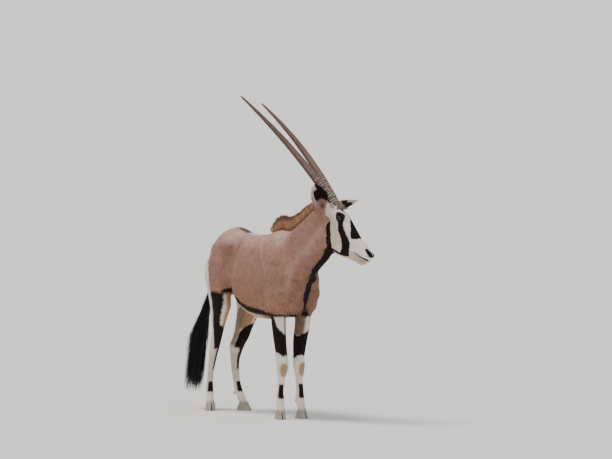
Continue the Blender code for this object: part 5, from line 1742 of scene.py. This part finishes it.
def ear_hair(name, side, points, quads, shares, inside, way, material):
    """A short coat on both faces of the ear and a fringe inside its rim."""
    faces = triangles_of(quads)
    normals = vertex_normals(points, faces)
    count = EAR_HAIRS
    picked = RANDOM.integers(0, len(faces), count)
    weights = RANDOM.dirichlet((1, 1, 1), count)
    corners = faces[picked]
    roots = (points[corners] * weights[:, :, None]).sum(1)
    out = normals[corners[:, 0]]
    place = (shares[corners] * weights[:, :, None]).sum(1)
    within = inside[corners[:, 0]]
    fringe = within * smooth((np.abs(place[:, 1]) - 0.5) / 0.2)
    size = (0.0075 + 0.016 * fringe) * RANDOM.uniform(0.7, 1.2, count)
    lie = np.tile(way, (count, 1)) + RANDOM.normal(0, 0.18, (count, 3))
    lie -= (lie * out).sum(1)[:, None] * out
    lie /= np.linalg.norm(lie, axis=1)[:, None]
    sides = np.cross(out, lie)
    paths = tuft_paths(roots, out, lie, size, (0.15 + 0.5 * fringe)[:, None], 0.10, 0.0008)
    colours = ear_colours(side, place, within) * RANDOM.uniform(0.85, 1.15, count)[:, None]
    colours = np.repeat(colours[:, None], 3, 1)
    widths = size * 0.085
    centre = 0.90 if side > 0 else 0.96
    spots = np.stack([centre + 0.05 * place[:, 1] * 0.5, 0.05 + 0.10 * place[:, 0] + 0.12 * within], 1)
    piece = strands(
        name + "_hair", paths, sides, widths, widths * 0.45, np.array((0.9, 1.0)), colours, spots
    )
    dress(piece, material, "face")


def make_eyes():
    """Dark wet eyes with a level pupil and a bulging cornea."""
    material = shader("eye", 0.12, coat=0.25, shine=0.3)
    for side, name in ((1, "eye_left"), (-1, "eye_right")):
        centre = on_head(EYE_CENTRE.x, side * EYE_CENTRE.y, EYE_CENTRE.z)
        shape = bmesh.new()
        bmesh.ops.create_uvsphere(shape, u_segments=48, v_segments=32, radius=1.0)
        turn = Vector((0, 0, 1)).rotation_difference(side * HEAD[1]).to_matrix()
        rounds = np.array([list(turn @ v.co) for v in shape.verts])
        faces = [[v.index for v in f.verts] for f in shape.faces]
        shape.free()
        out = rounds @ np.array(side * HEAD[1])
        bulge = 1 + 0.045 * smooth((out - 0.62) / 0.25)
        points = np.array(centre) + EYE_RADIUS * 0.985 * rounds * bulge[:, None]
        thing = bpy.data.objects.new(name + "_ball", bpy.data.meshes.new(name + "_ball"))
        thing.data.from_pydata([tuple(p) for p in points + SHIFT], [], faces)
        thing.data.shade_smooth()
        bpy.context.scene.collection.objects.link(thing)
        level = rounds @ np.array(HEAD[0])
        upright = rounds @ np.array(HEAD[2])
        colours = np.tile(PAINT["iris"] * 0.25, (len(points), 1))
        iris = edge(np.hypot(level, upright) - 0.60, 0.04) * (out > 0)
        colours = over(colours, "iris", iris)
        pupil = edge(np.hypot(level / 2.1, upright) - 0.20, 0.02) * (out > 0)
        colours = over(colours, "pupil", pupil)
        paint(thing, colours)
        dress(thing, material, "eye", name)


def make_hooves():
    """Two claws to each foot, with growth lines round their walls."""
    material = shader("hoof", 0.55, bump=0.4, scale=60.0)
    heights = np.array((0, 0.0015, 0.004, 0.009, *np.linspace(0.013, HOOF_HEIGHT, 22)))
    for (hind, side), (x, y, toe_out) in FEET.items():
        foot = ("hind" if hind else "fore") + ("_left" if side > 0 else "_right")
        for claw in (-1, 1):
            rings = [claw_ring(x, y, side, toe_out, claw, height) for height in heights]
            name = "hoof_%s_%s" % (foot, "outer" if claw == side else "inner")
            dress(tube(name + "_wall", *zip(*rings)), material, "hoof", name)


# The growth lines of a hoof's wall, in radians to a metre of height
HOOF_WAVES = 1100


def claw_ring(x, y, side, toe_out, claw, height):
    """One ring of a claw's wall: its points, their colours and their places for the grain."""
    ahead, across = (np.array(way) for way in facing(side, toe_out))
    low, high = closed_curve(SOLE), closed_curve(CORONET)
    rise = np.interp(height, (0, 0.006, 0.024, HOOF_HEIGHT), (0, 0.05, 0.42, 1))
    step = 0.0004 * math.sin(height * HOOF_WAVES) * (0.010 < height < 0.047)
    shrink = 0.985 if height == 0 else 1.0
    a = low[:, 0] + (high[:, 0] - low[:, 0]) * rise
    b = low[:, 1] + (high[:, 1] - low[:, 1]) * rise**1.6
    a = a.mean() + (a - a.mean()) * shrink + step * np.sign(a - a.mean())
    b = b.mean() + (b - b.mean()) * shrink
    spot = np.array((x, y, height)) + a[:, None] * ahead + claw * b[:, None] * across
    band = 0.5 + 0.5 * math.sin(height * HOOF_WAVES)
    tone = PAINT["hoof"] + (PAINT["hoof_line"] - PAINT["hoof"]) * 0.5 * band
    places = np.stack([a * 30, b * 30, np.full(len(a), height * 4)], 1)
    return spot, np.tile(tone, (len(a), 1)), places


def closed_curve(corners, spans=5):
    """A smooth closed outline through a few corners."""
    rows = np.array(corners)
    made = []
    t = np.linspace(0, 1, spans, endpoint=False)[:, None]
    for i in range(len(rows)):
        a, b, c, d = (rows[(i + k - 1) % len(rows)] for k in range(4))
        bend = 2 * a - 5 * b + 4 * c - d
        made.append(b + 0.5 * ((c - a) * t + bend * t**2 + (3 * b - a - 3 * c + d) * t**3))
    return np.vstack(made)


# The photograph's view: its direction from the animal, its distance and its middle
VIEW_TURN = math.radians(60)
VIEW_RISE = math.radians(2.7)
VIEW_DISTANCE = 40.0
PIXELS_TO_METRE = 158.0
PICTURE_WIDTH = 612
MIDDLE_RIGHT = 0.281
MIDDLE_UP = 1.174
SENSOR = 36.0


def make_camera():
    right = Vector((math.cos(VIEW_TURN), math.sin(VIEW_TURN), 0))
    level = Vector((math.sin(VIEW_TURN), -math.cos(VIEW_TURN), 0))
    towards = math.cos(VIEW_RISE) * level + Vector((0, 0, math.sin(VIEW_RISE)))
    above = towards.cross(right)
    middle = Vector(SHIFT) + MIDDLE_RIGHT * right + MIDDLE_UP * above
    eye = bpy.data.cameras.new("camera")
    eye.sensor_width = SENSOR
    eye.lens = SENSOR * PIXELS_TO_METRE * VIEW_DISTANCE / PICTURE_WIDTH
    eye.clip_end = 2000
    camera = bpy.data.objects.new("camera", eye)
    bpy.context.scene.collection.objects.link(camera)
    camera.location = middle + VIEW_DISTANCE * towards
    camera.rotation_euler = (-towards).to_track_quat("-Z", "Y").to_euler()
    bpy.context.scene.camera = camera


def plain_material(name, colour, roughness):
    made = bpy.data.materials.new(name)
    made.use_nodes = True
    surface_shader = made.node_tree.nodes["Principled BSDF"]
    surface_shader.inputs["Base Color"].default_value = (*colour, 1)
    surface_shader.inputs["Roughness"].default_value = roughness
    return made


def make_floor():
    half = 600.0
    mesh = bpy.data.meshes.new("floor")
    corners = [(-half, -half, 0), (half, -half, 0), (half, half, 0), (-half, half, 0)]
    mesh.from_pydata(corners, [], [(0, 1, 2, 3)])
    floor = bpy.data.objects.new("floor", mesh)
    bpy.context.scene.collection.objects.link(floor)
    mesh.materials.append(plain_material("floor", (0.80, 0.79, 0.77), 0.9))


def make_light(name, strength, angle, way, colour):
    """A soft distant light that comes from a direction."""
    light = bpy.data.lights.new(name, "SUN")
    light.energy = strength
    light.angle = math.radians(angle)
    light.color = colour
    thing = bpy.data.objects.new(name, light)
    thing.rotation_euler = Vector(way).to_track_quat("Z", "Y").to_euler()
    bpy.context.scene.collection.objects.link(thing)


def make_lights():
    world = bpy.data.worlds.new("studio")
    world.use_nodes = True
    sky = world.node_tree.nodes["Background"]
    sky.inputs["Color"].default_value = (0.93, 0.95, 1.0, 1)
    sky.inputs["Strength"].default_value = 0.60
    bpy.context.scene.world = world
    make_light("key", 2.6, 22, (-0.35, -0.45, 1.3), (1.0, 0.97, 0.92))
    make_light("fill", 0.8, 60, (0.9, -0.1, 0.5), (0.95, 0.97, 1.0))


def main():
    make_camera()
    make_lights()
    make_floor()
    flesh = shape_flesh()
    add_dock(flesh)
    points, faces = make_skin(flesh)
    normals = vertex_normals(points, faces)
    make_coat(points, faces, normals)
    make_mane(flesh)
    make_switch()
    make_horns()
    make_ears()
    make_eyes()
    make_hooves()


main()
